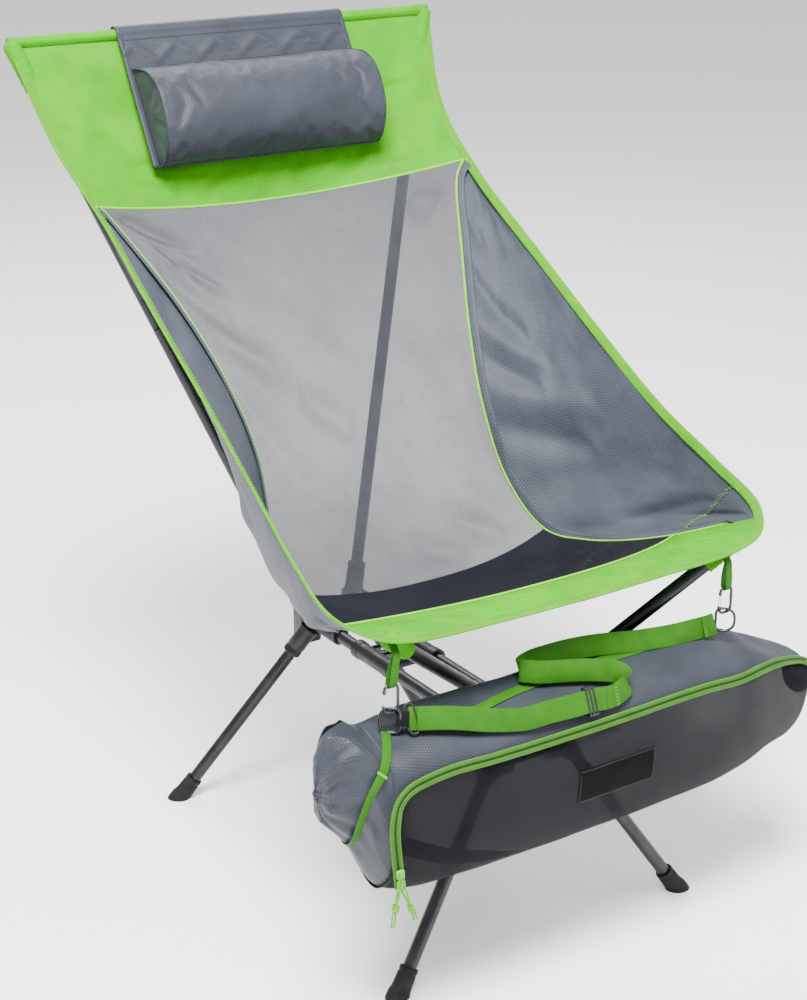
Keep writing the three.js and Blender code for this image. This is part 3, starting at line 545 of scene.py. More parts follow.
def set_stage():
    world = bpy.data.worlds.new("studio")
    world.use_nodes = True
    world.node_tree.nodes["Background"].inputs["Color"].default_value = (0.97, 0.98, 1, 1)
    world.node_tree.nodes["Background"].inputs["Strength"].default_value = 0.98
    bpy.context.scene.world = world
    pale = bpy.data.materials.new("pale_floor")
    pale.use_nodes = True
    pale.node_tree.nodes["Principled BSDF"].inputs["Base Color"].default_value = (0.97, 0.97, 0.97, 1)
    pale.node_tree.nodes["Principled BSDF"].inputs["Roughness"].default_value = 0.85
    half = 14
    corners = [(-half, -half, 0), (half, -half, 0), (half, half, 0), (-half, half, 0)]
    floor = mesh_object("floor", corners, [(0, 1, 2, 3)], pale, smooth=False)
    area_light("key_light", (-1.0, -1.3, 3.4), (1.3, 1.3), 480)
    area_light("fill_light", (2.6, -2.2, 1.8), (1.6, 1.6), 35)
    area_light("back_light", (0.8, 2.6, 2.8), (1.6, 1.2), 80)


set_camera()
set_stage()

# ---------------------------------------------------------------- frame
POLE_R = 8 * MM
FRONT_LEG = mm((38, -262, 250), (205, -305, 0))
REAR_LEG = mm((40, 150, 242), (200, 232, 0))
FRONT_POLE = mm((38, -256, 300), (235, -333, 459))
REAR_POLE = mm((38, 172, 262), (299, 397, 979))
REAR_JOINT = 410 * MM
SPINE_X = 33 * MM
SPINE_Z = 248 * MM
RIGHT = np.array([1.0, 0, 0])
BACK = np.array([0, 1.0, 0])
UP = np.array([0, 0, 1.0])


def on_side(points, side):
    return np.asarray(points) * (side, 1, 1)


class Line:
    """A pole's line on one side: its start, direction and length."""

    def __init__(self, ends, side):
        self.start, end = on_side(ends, side)
        self.direction = unit(end - self.start)
        self.length = np.linalg.norm(end - self.start)

    def at(self, distance):
        return self.start + self.direction * distance

    def turned(self, name, profile, material, sides=40):
        return turned(name, self.start, self.direction, profile, material, sides)


def pipe(start, end, outer=POLE_R, inner=7 * MM, edge=0.7 * MM):
    """Profile of a tube with rounded rims."""
    return [
        (inner, start + edge), (inner + edge / 2, start), (outer - edge, start), (outer, start + edge),
        (outer, end - edge), (outer - edge, end), (inner + edge / 2, end), (inner, end - edge), (inner, start + edge)
    ]


def socket(line, start, depth):
    """A moulded socket: a rolled mouth, a shallow grip groove and a flare at its root."""
    end = start + depth
    floor = end - depth * 0.8
    grip = profile_from(start, (0, 0), (13.4, 0), (12.6, 6), (12, 10))
    root = profile_from(end, (12, -11), (11.3, -10), (11.3, -8), (12, -7), (12, -1.2), (10.8, 0), (9.2, 0), (8.4, -1))
    return line.turned("hub_socket", [*grip, *root, (8.4 * MM, floor), (0, floor)], PLASTIC)


def cut_block(name, centre, size, material, bevel=3 * MM, turn=None):
    """A moulded block with generous rounded edges."""
    corners = [
        np.array([sx * size[0], sy * size[1], sz * size[2]]) / 2 for sx in (-1, 1) for sy in (-1, 1) for sz in (-1, 1)
    ]
    if turn is not None:
        corners = [turn @ c for c in corners]
    faces = [(0, 1, 3, 2), (4, 6, 7, 5), (0, 4, 5, 1), (2, 3, 7, 6), (0, 2, 6, 4), (1, 5, 7, 3)]
    obj = mesh_object(name, [centre + c for c in corners], faces, material)
    rounded(obj, bevel, 4)
    return settle(obj)


def screw_head(name, centre, direction, radius=3.2 * MM):
    """Button-head screw with a hexagonal recess."""
    direction = unit(direction)
    head = turned(
        name, centre, direction,
        [(0, -1 * MM), (radius, -1 * MM), (radius, 0.4 * MM), (radius * 0.85, 1.2 * MM), (radius * 0.5, 1.6 * MM)],
        STEEL, 24
    )
    recess = turned(
        name + "_recess", centre, direction, [(radius * 0.5, 1.6 * MM), (radius * 0.48, 0.5 * MM), (0, 0.5 * MM)],
        PLASTIC, 6
    )
    return joined(name, [head, recess])


def front_hub(label, side):
    leg, pole = Line(FRONT_LEG, side), Line(FRONT_POLE, side)
    spine = Line([(SPINE_X, -0.262, SPINE_Z), (SPINE_X, -0.1, SPINE_Z)], side)
    sockets = [socket(leg, 4 * MM, 42 * MM), socket(pole, -2 * MM, 40 * MM), socket(spine, 0, 59 * MM)]
    cap = spine.turned("hub_cap", profile_from(0, (0, -3), (7, -2.6), (12, 0), (12, 4)), PLASTIC)
    x = side * 37 * MM
    body = cut_block("hub_body", np.array([x, -0.262, 0.259]), (25 * MM, 26 * MM, 88 * MM), PLASTIC, 4 * MM)
    rib = cut_block("hub_rib", np.array([x + side * 3 * MM, -0.262, 0.262]), (24 * MM, 5 * MM, 70 * MM), PLASTIC)
    screws = [screw_head("hub_screw", np.array([x, -0.2755, z]), -BACK) for z in (0.236, 0.283)]
    return joined(f"front_hub_moulding_{label}", [*sockets, cap, body, rib, *screws])


def rear_hub(label, side):
    leg, pole = Line(REAR_LEG, side), Line(REAR_POLE, side)
    spine = Line([(SPINE_X, 0.172, SPINE_Z), (SPINE_X, 0.05, SPINE_Z)], side)
    sockets = [socket(leg, 4 * MM, 42 * MM), socket(pole, 2 * MM, 40 * MM), socket(spine, 0, 84 * MM)]
    cap = spine.turned("hub_cap", profile_from(0, (0, -4), (8, -3.4), (12, 0), (12, 4)), PLASTIC)
    x = side * 37 * MM
    body = cut_block("hub_body", np.array([x, 0.166, 0.243]), (25 * MM, 34 * MM, 52 * MM), PLASTIC, 4 * MM)
    screws = [screw_head("hub_screw", np.array([x, y, 0.2685]), UP) for y in (0.155, 0.177)]
    return joined(f"rear_hub_moulding_{label}", [*sockets, cap, body, *screws])


def make_leg(end, ends, side, label):
    line = Line(ends, side)
    tube_end = line.length - 12 * MM
    boot_top = line.length - 34 * MM
    body = f"leg_assembly_{end}_{label}"
    tube = line.turned(f"leg_tube_{end}_{label}", pipe(10 * MM, tube_end), POLE)
    wear(crisp(tube), body, "pole", f"leg_{end}_{label}")
    profile = profile_from(
        boot_top, (8.2, -0.5), (10.4, -0.8), (11, 1), (11, 4), (10.3, 5), (10.3, 6.5), (11, 7.5),
        (11.3, 20), (12, 26), (13.3, 31), (13.6, 37), (13.4, 46), (0, 46)
    )
    boot = line.turned(f"rubber_boot_{end}_{label}", profile, RUBBER)
    flatten_below(boot, 0)
    wear(rounded(boot, 0.8 * MM), body, "rubber", f"foot_{end}_{label}")
    cord = ribbed(
        f"shock_cord_cover_{end}_{label}", [line.at(d) for d in np.linspace(12 * MM, boot_top, 12)],
        circle(1.5 * MM, 10), ELASTIC
    )
    wear(cord, "chair", "elastic", f"shock_cord_{end}_{label}")


def flatten_below(obj, height):
    """Cuts a closed piece off flat at a height."""
    work = bmesh.new()
    work.from_mesh(obj.data)
    everything = work.verts[:] + work.edges[:] + work.faces[:]
    cut = bmesh.ops.bisect_plane(
        work, geom=everything, plane_co=(0, 0, height), plane_no=(0, 0, -1), clear_outer=True
    )
    rim = [g for g in cut["geom_cut"] if isinstance(g, bmesh.types.BMEdge)]
    bmesh.ops.contextual_create(work, geom=rim)
    work.to_mesh(obj.data)
    work.free()


def make_frame():
    for label, side in SIDES.items():
        wear(crisp(front_hub(label, side)), "chair", "moulded_plastic", f"front_hub_{label}")
        wear(crisp(rear_hub(label, side)), "chair", "moulded_plastic", f"rear_hub_{label}")
        make_leg("front", FRONT_LEG, side, label)
        make_leg("rear", REAR_LEG, side, label)
        spine = Line([(SPINE_X, -0.246, SPINE_Z), (SPINE_X, 0.128, SPINE_Z)], side)
        front, rear = Line(FRONT_POLE, side), Line(REAR_POLE, side)
        end = rear.length - 8 * MM
        swage = [
            *profile_from(REAR_JOINT, (5.6, -40), (6.6, -40), (6.6, 0), (7.4, 0.2), (8, 0.8)),
            *profile_from(end, (8, -0.7), (7.4, 0), (7, 0)), *profile_from(REAR_JOINT, (7, 6), (5.6, 4), (5.6, -40))
        ]
        for line, name, shape, node in (
            (spine, "spine_tube", pipe(0, spine.length), "spine_pole"),
            (front, "front_upright", pipe(6 * MM, front.length - 8 * MM), "front_pole"),
            (rear, "rear_upright_lower", pipe(8 * MM, REAR_JOINT - 0.4 * MM), "rear_pole_lower"),
            (rear, "rear_upright_upper", swage, "rear_pole_upper")
        ):
            wear(crisp(line.turned(f"{name}_{label}", shape, POLE)), "chair", "pole", f"{node}_{label}")
        for end, line in (("front", front), ("rear", rear)):
            tip = profile_from(
                line.length, (0, -24), (6.4, -24), (6.4, -7.6), (7.6, -7.4), (8, -6.8), (8, -4.5), (7.2, -2.4),
                (5, -0.8), (0, 0)
            )
            plug = line.turned(f"{end}_plug_{label}", tip, PLASTIC, 32)
            wear(crisp(plug), "chair", "moulded_plastic", f"{end}_tip_{label}")
    for name, y, z in (("front_cross_bar", -0.262, 0.226), ("rear_cross_bar", 0.174, 0.238)):
        bar = turned(f"{name}_tube", np.array([0, y, z]), RIGHT, pipe(-31 * MM, 31 * MM, 7 * MM, 6 * MM), POLE, 32)
        wear(crisp(bar), "chair", "pole", name)
    make_bridge()


def make_bridge():
    """Two sleeves round the spine poles and a ribbed web between them."""
    parts = []
    start, end = -35 * MM, 48 * MM
    for side in SIDES.values():
        line = Line([(SPINE_X, 0, SPINE_Z), (SPINE_X, 1, SPINE_Z)], side)
        profile = [
            *profile_from(start, (8.4, 0), (10.8, 0), (12, 1.2), (12, 12), (11.2, 13)),
            *profile_from(end, (11.2, -13), (12, -12), (12, -1.2), (10.8, 0), (8.4, 0)), (8.4 * MM, start)
        ]
        parts.append(line.turned("bridge_sleeve", profile, PLASTIC))
    web = cut_block("bridge_web", np.array([0, 6 * MM, SPINE_Z]), (46 * MM, 62 * MM, 9 * MM), PLASTIC)
    parts.append(web)
    for y in (-18, 6, 30):
        rib = cut_block("bridge_rib", np.array([0, y * MM, SPINE_Z]), (46 * MM, 4 * MM, 14 * MM), PLASTIC, 1.2 * MM)
        parts.append(rib)
    for x in (-14 * MM, 14 * MM):
        parts.append(screw_head("bridge_screw", np.array([x, 18 * MM, SPINE_Z + 4.5 * MM]), UP))
    wear(crisp(joined("spine_clamp", parts)), "chair", "moulded_plastic", "spine_bridge")


make_frame()

# ---------------------------------------------------------------- sling
EDGE_POINTS = mm(
    (304, 396, 980), (282, 327, 865), (271, 222, 789), (274, 85, 704), (276, -37, 631), (281, -146, 567),
    (290, -242, 521), (291, -312, 491), (262, -350, 472), (222, -358, 462), (110, -357, 456), (0, -355, 453)
)
EDGE_INTO = np.array(
    [
        (-1, 0, -0.3), (-1, 0.1, -0.2), (-0.8, 0.4, -0.45), (-0.76, 0.46, -0.44), (-0.62, 0.66, -0.42),
        (-0.5, 0.8, -0.33), (-0.42, 0.76, -0.5), (-0.5, 0.65, -0.57), (-0.3, 0.95, -0.1), (0, 1, 0), (0, 1, 0.05),
        (0, 1, 0.05)
    ]
)
EDGE = Curve(EDGE_POINTS)
INTO = Curve(EDGE_INTO)
EDGE_LAST = len(EDGE_POINTS) - 1
SEAM = Curve(
    mm(
        (264, 247, 803), (249, 241, 783), (208, 170, 700), (177, 105, 607), (165, 59, 530), (172, 15, 445),
        (187, -45, 393), (205, -110, 395), (236, -202, 422), (272, -300, 467)
    )
)
CREASE = 6 / 9
SEAT_CORNER = 0.915
BINDING_WIDTH = 12 * MM
TUCK = 5 * MM  # how far a panel's edge lies inside the binding
BACK_MIDDLE = Curve(mm((0, 305, 770), (0, 215, 672), (0, 118, 566), (0, 20, 458), (0, -64, 373)))
SEAT_MIDDLE = Curve(mm((0, -64, 373), (0, -150, 384), (0, -230, 418), (0, -300, 455)))
TOP_MIDDLE = Curve(mm((0, 393, 973), (0, 345, 868), (0, 305, 770)))
TOP_PLACES = (0.07, 1.79)


def edge_frame(place):
    """Points of the edge with the directions into the cloth and out of its face, for places from 0 to 11."""
    t = np.asarray(place, float) / EDGE_LAST
    along = EDGE.along(t)
    into = INTO(t)
    into = unit(into - along * np.sum(into * along, axis=1, keepdims=True))
    return EDGE(t), into, np.cross(along, into)


def top_side(u):
    """The right edge of the top panel, tucked into the edge binding."""
    point, into, _ = edge_frame(TOP_PLACES[0] + np.atleast_1d(u) * (TOP_PLACES[1] - TOP_PLACES[0]))
    return point + into * TUCK


def bump_field(across, down, creases):
    """Height of listed folds at each point of a grid.

    A row holds a fold's start and its end, each as across and down from 0 to 1, its width on the same scale
    and its height in millimetres. A fold fades out towards both ends.
    """
    height = np.zeros_like(across)
    for a0, d0, a1, d1, width, size in creases:
        run = np.array([a1 - a0, d1 - d0])
        length = np.hypot(*run)
        run = run / length
        da, dd = across - a0, down - d0
        t = (da * run[0] + dd * run[1]) / length
        away = np.abs(-da * run[1] + dd * run[0])
        ends = np.clip(t, 0, 1)
        away = np.hypot(away, (t - ends) * length)
        height += size * MM * np.exp(-((away / width) ** 2)) * (0.35 + 0.65 * np.sin(math.pi * ends) ** 0.6)
    return height


def ripple(across, down, scale, seed, turn=0.0, stretch=3.0):
    """Smooth noise, drawn out along one direction, from -1 to 1."""
    c, s = math.cos(turn), math.sin(turn)
    made = np.empty(across.shape)
    for index in np.ndindex(across.shape):
        a, d = across[index], down[index]
        p = ((a * c + d * s) * scale / stretch, (-a * s + d * c) * scale, seed * 7.31)
        made[index] = noise.noise(p) + 0.45 * noise.noise((2 * p[0], 2 * p[1], p[2] + 3.1))
    return made


def grid_normals(grid):
    return unit(np.cross(np.gradient(grid, axis=1), np.gradient(grid, axis=0)))


def edge_fade(across, down, margin=0.06):
    """0 on the border of a panel, 1 well inside it."""
    inside = np.minimum(np.minimum(across, 1 - across), np.minimum(down, 1 - down))
    return np.clip(inside / margin, 0, 1) ** 0.7


def spanned(middle, side, across, flatness):
    """Cloth from side to side: flat in the middle, rising to its edges. across runs from -1 to 1."""
    lift = np.abs(across)[None, :, None] ** flatness
    made = middle[:, None] * (1 - lift) + side[:, None] * (0, 1, 1) * lift
    made[:, :, 0] = across[None, :] * side[:, None, 0]
    return made


def panel_grid(rows, columns):
    down, across = np.meshgrid(np.linspace(0, 1, rows), np.linspace(0, 1, columns), indexing="ij")
    return across, down


def folded(grid, height):
    return grid + grid_normals(grid) * height[..., None]


def mark_bunched(obj, height, size):
    """Stores where a panel's folds are, for its material."""
    slope = np.hypot(*np.gradient(height)) / size
    attribute = obj.data.attributes.new("bunched", "FLOAT", "POINT")
    attribute.data.foreach_set("value", np.clip(slope, 0, 1).ravel())


def stitches(name, points, normals, material, length=3.2 * MM):
    """A row of thread stitches that lies along points, a little proud of the cloth."""
    gap, radius, lift = 1.4 * MM, 0.38 * MM, 0.5 * MM
    points = np.asarray(points, float)
    normals = np.broadcast_to(normals, points.shape)
    run = run_along(points)
    verts, faces = [], []
    count = int(run[-1] / (length + gap))
    sides = 6
    shape = [(0, 0.25, -0.7), (0.18, 0.9, 0), (0.5, 1.0, 0.35), (0.82, 0.9, 0), (1, 0.25, -0.7)]
    for k in range(count):
        stations = k * (length + gap) + length * np.array([s[0] for s in shape])
        centre = np.stack([np.interp(stations, run, points[:, i]) for i in range(3)], axis=1)
        out = unit(np.stack([np.interp(stations, run, normals[:, i]) for i in range(3)], axis=1))
        along = unit(centre[-1] - centre[0])
        side = unit(np.cross(along, out))
        first = len(verts)
        for (_, fat, rise), c, o, s in zip(shape, centre, out, side):
            for j in range(sides):
                a = 2 * math.pi * j / sides
                offset = s * math.cos(a) + o * math.sin(a)
                verts.append(c + o * (lift + rise * radius) + offset * radius * fat)
        faces += [tuple(first + i for i in f) for f in grid_faces(len(shape), sides, closed=True)]
        faces.append(tuple(first + j for j in range(sides))[::-1])
        faces.append(tuple(first + (len(shape) - 1) * sides + j for j in range(sides)))
    return mesh_object(name, verts, faces, material)


def make_top_panel():
    rows, columns = 64, 140
    across, down = panel_grid(rows, columns)
    x = 2 * across[0] - 1
    u = np.linspace(0, 1, rows)
    grid = spanned(TOP_MIDDLE(u), top_side(u), x, 2.0)
    creases = [
        (0.06, 0.1, 0.2, 0.75, 0.035, 5), (0.1, 0.3, 0.05, 0.62, 0.03, -4), (0.15, 0.72, 0.34, 0.7, 0.03, 4),
        (0.03, 0.42, 0.13, 0.5, 0.025, -3), (0.94, 0.1, 0.84, 0.6, 0.04, 5), (0.97, 0.36, 0.84, 0.42, 0.02, 3.5),
        (0.9, 0.3, 0.97, 0.5, 0.03, -3), (0.82, 0.62, 0.95, 0.72, 0.04, 4), (0.4, 0.78, 0.33, 0.97, 0.02, 3),
        (0.5, 0.76, 0.47, 0.97, 0.02, -2.5), (0.6, 0.78, 0.58, 0.96, 0.02, 3), (0.7, 0.75, 0.66, 0.97, 0.025, -3),
        (0.78, 0.72, 0.72, 0.94, 0.02, 3), (0.26, 0.8, 0.22, 0.96, 0.02, -2.5), (0.12, 0.8, 0.3, 0.93, 0.03, 3),
        (0.98, 0.98, 0.7, 0.84, 0.03, 3)
    ]
    height = bump_field(across, down, creases)
    height += 1.6 * MM * ripple(across, down, 9, 1, turn=1.2)
    height += 0.5 * MM * ripple(across, down, 30, 2, turn=0.5, stretch=2)
    grid = folded(grid, height * edge_fade(across, down, 0.05))
    panel = sheet_object("top_panel_cloth", grid, GREEN)
    wear(panel, "chair", "green_cloth", "top_panel")
    return grid


def make_seam(name, points, normals, radius=1.7 * MM):
    """Light green piping over a seam."""
    piping = ribbed(name, points, circle(radius, 10, 0.7), PIPING, normals)
    return wear(piping, "chair", "green_cloth")


def make_back():
    rows, columns = 110, 100
    across, down = panel_grid(rows, columns)
    x = 2 * across[0] - 1
    u = np.linspace(0, 1, rows)
    side = SEAM(u * CREASE)
    grid = spanned(BACK_MIDDLE(u), side, x, 2.4)
    top_x = x * side[0, 0]
    sag = TOP_MIDDLE(1.0) * (1 - np.abs(x)[:, None] ** 2) + top_side(1.0)[0] * np.abs(x)[:, None] ** 2
    sag[:, 0] = top_x
    blend = np.clip(1 - u / 0.3, 0, 1)[:, None, None] ** 2
    grid = grid + blend * (sag - grid[0])[None]
    creases = [
        (0.05, 0.06, 0.2, 0.16, 0.04, 5), (0.1, 0.14, 0.22, 0.15, 0.02, -3), (0.12, 0.17, 0.16, 0.24, 0.02, 3),
        (0.1, 0.2, 0.24, 0.25, 0.02, -2.5), (0.04, 0.26, 0.2, 0.34, 0.05, 3.5), (0.06, 0.38, 0.26, 0.44, 0.04, -2.5),
        (0.3, 0.5, 0.46, 0.6, 0.05, 2.5), (0.86, 0.1, 0.93, 0.2, 0.04, 2.5), (0.7, 0.86, 0.86, 0.95, 0.04, 2),
        (0.5, 0.9, 0.66, 0.97, 0.04, -2)
    ]
    height = bump_field(across, down, creases)
    height += 1.6 * MM * ripple(across, down, 5, 5, turn=0.9, stretch=3)
    height *= edge_fade(across, down, 0.05)
    net = sheet_object("back_net", folded(grid, height), LIGHT_NET, 0.5 * MM)
    mark_bunched(net, height, 2.4 * MM)
    wear(net, "chair", "light_netting", "back_netting")


def make_seat():
    rows, columns = 70, 100
    across, down = panel_grid(rows, columns)
    x = 2 * across[0] - 1
    u = np.linspace(0, 1, rows)
    grid = spanned(SEAT_MIDDLE(u), SEAM(CREASE + u * (SEAT_CORNER - CREASE)), x, 2.4)
    creases = [(0.1, 0.1, 0.3, 0.5, 0.05, 4), (0.9, 0.1, 0.75, 0.5, 0.05, 4), (0.3, 0.75, 0.6, 0.88, 0.04, 3)]
    height = bump_field(across, down, creases) + 2 * MM * ripple(across, down, 5, 8, turn=0.3)
    height *= edge_fade(across, down, 0.05)
    net = sheet_object("seat_net", folded(grid, height), DARK_NET, 0.5 * MM)
    mark_bunched(net, height, 0.9 * MM)
    wear(net, "chair", "dark_netting", "seat_netting")
    return grid


PANEL_PLACES = (1.78, 7.45)


def panel_surface(side, rows, columns):
    """A side panel's grid between the edge binding and the seam, without its slack and folds."""
    across, down = panel_grid(rows, columns)
    u = np.linspace(0, 1, rows)
    point, into, _ = edge_frame(PANEL_PLACES[0] + u * (PANEL_PLACES[1] - PANEL_PLACES[0]))
    outer = point + into * TUCK
    w = across[..., None]
    grid = outer[:, None] * (1 - w) + SEAM(u)[:, None] * w
    return on_side(grid, side), across, down


PANEL_END_LINES = {}
PANEL_FOLDS = {
    "right": [
        (0.98, 0.24, 0.55, 0.34, 0.02, 6), (0.98, 0.3, 0.5, 0.4, 0.022, -6), (0.98, 0.36, 0.6, 0.44, 0.02, 6),
        (0.96, 0.42, 0.35, 0.5, 0.03, -6), (0.97, 0.48, 0.5, 0.56, 0.025, 7), (0.95, 0.15, 0.7, 0.2, 0.02, 4),
        (0.9, 0.6, 0.3, 0.64, 0.045, 6), (0.85, 0.7, 0.3, 0.74, 0.04, -5), (0.7, 0.78, 0.25, 0.82, 0.03, 6),
        (0.8, 0.88, 0.4, 0.9, 0.025, -5), (0.5, 0.84, 0.2, 0.93, 0.02, 5)
    ],
    "left": [
        (0.97, 0.2, 0.4, 0.3, 0.03, 5), (0.97, 0.34, 0.4, 0.42, 0.03, -5), (0.97, 0.5, 0.4, 0.56, 0.035, 6),
        (0.9, 0.7, 0.3, 0.74, 0.04, -5), (0.8, 0.85, 0.3, 0.9, 0.03, 5)
    ]
}


def make_side_panel(label, side):
    rows, columns = 130, 64
    grid, across, down = panel_surface(side, rows, columns)
    belly = 16 * MM * np.sin(math.pi * across) * np.sin(math.pi * down) ** 0.6
    height = bump_field(across, down, PANEL_FOLDS[label])
    height += 2.4 * MM * ripple(across, down, 7, 11 + side, turn=0.35)
    height += 0.7 * MM * ripple(across, down, 26, 14 + side, turn=0.2)
    height = (height + belly) * edge_fade(across, down, 0.045)
    # On the left the grid's rows run the other way round, so its normals are turned to point outwards.
    outward = grid_normals(grid)
    outward *= np.sign(outward[..., :1] * side + 1e-9)
    surface = grid + outward * height[..., None]
    cloth = sheet_object(f"side_cloth_{label}", surface, PANEL_SLATE)
    steps = np.linspace(0, 1, 60)
    picks = [(int(0.83 * (rows - 1) + 0.09 * t * (rows - 1)), int((0.04 + 0.9 * t) * (columns - 1))) for t in steps]
    PANEL_END_LINES[label] = {
        "points": np.array([surface[i, j] + outward[i, j] * -0.6 * MM for i, j in picks]),
        "normals": np.array([-outward[i, j] for i, j in picks])
    }
    wear(cloth, "chair", "slate_cloth", f"side_panel_{label}")
    # A felled seam lies along the piping, with two rows of stitches.
    u = np.linspace(0.015, 0.99, 220)
    seam = on_side(SEAM(u), side)
    places = PANEL_PLACES[0] + u * (PANEL_PLACES[1] - PANEL_PLACES[0])
    point, into, _ = edge_frame(places)
    towards = unit(on_side(point + into * TUCK, side) - seam)
    along = unit(np.gradient(seam, axis=0))
    face = np.cross(along, towards)
    face *= -np.sign(np.sum(face * (side, 0, 0), axis=1, keepdims=True))
    lie = seam + towards * 7 * MM + face * 1.0 * MM
    fell = ribbed(f"felled_seam_{label}", lie, band(10 * MM, 1.6 * MM), PANEL_SLATE, face)
    wear(fell, "chair", "slate_cloth")
    for k, offset in enumerate((4 * MM, 10 * MM)):
        row = stitches(f"seam_stitches_{label}_{k}", seam + towards * offset + face * 1.6 * MM, face, GREY_THREAD)
        wear(row, "chair", "slate_cloth")
    make_seam(f"side_piping_{label}", seam + face * 1.2 * MM - towards * 0.5 * MM, face)


def make_binding(label, side):
    places = np.linspace(0.02, EDGE_LAST, 420)
    point, into, face = edge_frame(places)
    centre = on_side(point + into * BINDING_WIDTH * 0.42, side)
    normal = on_side(face, side)
    wobble = np.array([noise.noise((p * 1.7, side * 5.2, 0)) for p in places])
    fat = 1 + 0.06 * wobble
    section = band(BINDING_WIDTH, 3.2 * MM, 6)
    tape = ribbed(f"edge_tape_{label}", centre, section, BINDING, normal, scale=fat)
    wear(tape, "chair", "green_cloth", f"edge_binding_{label}")
    inner = on_side(point + into * BINDING_WIDTH * 0.74, side)
    for k, way in enumerate((1, -1)):
        row = stitches(f"edge_stitches_{label}_{k}", inner + normal * way * 1.35 * MM, normal * way, GREEN_THREAD)
        wear(row, "chair", "green_cloth")


BAND_TURN = 0.84


def make_band(seat_grid):
    """The green band along the front of the seat, wide at the corners and puckered where it is gathered."""
    rows, columns = 30, 260
    across, down = panel_grid(rows, columns)
    x = 2 * across[0] - 1
    # Its back edge follows the seat netting to the side panels' seams, and these to the corners.
    share = np.clip(np.abs(x) / BAND_TURN, 0, 1)
    edge = seat_grid[-1]
    places = 0.5 + 0.5 * np.sign(x) * share
    back = np.stack([np.interp(places, np.linspace(0, 1, len(edge)), edge[:, i]) for i in range(3)], 1)
    past = np.clip((np.abs(x) - BAND_TURN) / (1 - BAND_TURN), 0, 1)
    seam = SEAM(SEAT_CORNER + past * (1 - SEAT_CORNER))
    seam[:, 0] *= np.sign(x)
    back = np.where(past[:, None] > 0, seam, back)
    point, into, _ = edge_frame(EDGE_LAST - np.abs(x) * (EDGE_LAST - PANEL_PLACES[1]))
    front = point + into * 4 * MM
    front[:, 0] *= np.sign(x)
    w = down[..., None]
    grid = back[None] * (1 - w) + front[None] * w
    arch = 4 * MM * np.sin(math.pi * down)
    folds = bump_field(across, down, BAND_FOLDS)
    pucker = 1.5 * MM * np.sin((across * 60 + down * 1.5) * 2 * math.pi) * ripple(across, down, 6, 21)
    height = arch + folds + pucker * np.sin(math.pi * down)
    height += 1.1 * MM * ripple(across, down, 24, 23, turn=0.9, stretch=3)
    normals = grid_normals(grid)
    normals *= np.sign(normals[..., 2:] + 1e-9)
    height *= edge_fade(across, down, 0.12)
    cloth = sheet_object("front_band_cloth", grid + normals * height[..., None], GREEN)
    wear(cloth, "chair", "green_cloth", "front_band")
    keep = np.abs(x) <= BAND_TURN
    line = back[keep] + UP * 1.2 * MM
    make_seam("front_piping", line, UP)
    for label in SIDES:
        make_pocket_stitches(label)


BAND_FOLDS = [
    (0.86, 0.15, 0.95, 0.5, 0.02, 2.5), (0.8, 0.2, 0.9, 0.75, 0.015, -2.5), (0.74, 0.1, 0.84, 0.7, 0.015, 2.5),
    (0.62, 0.2, 0.72, 0.8, 0.012, -2), (0.5, 0.2, 0.62, 0.8, 0.012, 2), (0.38, 0.2, 0.5, 0.8, 0.012, -2),
    (0.2, 0.2, 0.32, 0.8, 0.015, 2.5), (0.1, 0.3, 0.2, 0.8, 0.015, -2.5)
]


def make_pocket_stitches(label):
    """Stitches that sew the front pocket on: a slanting double row over the end of the side panel."""
    panel = PANEL_END_LINES[label]
    for k, shift in enumerate((0, 2.6 * MM)):
        line = panel["points"] + panel["normals"] * 0.9 * MM + BACK * shift
        wear(stitches(f"pocket_stitches_{label}_{k}", line, panel["normals"], GREEN_THREAD), "chair", "green_cloth")


def make_hem(top_grid):
    """The rolled hem along the top, and the piping and stitches of the top panel's lower seam."""
    x = np.linspace(-0.302, 0.302, 150)
    y = np.full_like(x, 0.396)
    z = 0.9778 - 0.0006 * (1 - (x / 0.302) ** 2)
    sides = 20
    angles = np.arange(sides) * 2 * math.pi / sides
    section = np.stack([7.2 * MM * np.cos(angles), 7.4 * MM * np.sin(angles)], axis=1)
    fat = 1 + 0.05 * np.array([noise.noise((v * 30, 4.4, 0)) for v in x])
    roll = ribbed("hem_roll", np.stack([x, y, z], axis=1), section, GREEN, UP, scale=fat)
    wear(roll, "chair", "green_cloth", "top_hem")
    seam = top_grid[-1]
    normal = unit((0, -0.75, 0.55))
    make_seam("top_piping", seam + normal * 1.2 * MM, normal)
    for k, row in enumerate((-4, -7)):
        line = stitches(f"top_seam_stitches_{k}", top_grid[row], grid_normals(top_grid)[row] * -1, GREEN_THREAD)
        wear(line, "chair", "green_cloth")


def make_pockets():
    """Cloth cups sewn behind the corners, each round the tip of a pole."""
    for label, side in SIDES.items():
        for end, ends, depth in (("front", FRONT_POLE, 40 * MM), ("rear", REAR_POLE, 62 * MM)):
            line = Line(ends, side)
            stations = np.linspace(line.length - depth, line.length + 2.4 * MM, 30)
            points = np.array([line.at(d) for d in stations])
            t = (stations - stations[0]) / (stations[-1] - stations[0])
            fat = 1 - 0.75 * np.clip((t - 0.9) / 0.1, 0, 1) ** 2 + 0.04 * np.sin(t * 40) * (1 - t)
            cup = ribbed(f"{end}_cup_{label}", points, circle(10.6 * MM, 28), GREEN, scale=fat)
            wear(cup, "chair", "green_cloth", f"{end}_pocket_{label}")


def make_sling():
    top_grid = make_top_panel()
    make_back()
    seat_grid = make_seat()
    for label, side in SIDES.items():
        make_side_panel(label, side)
        make_binding(label, side)
    make_band(seat_grid)
    make_hem(top_grid)
    make_pockets()


make_sling()

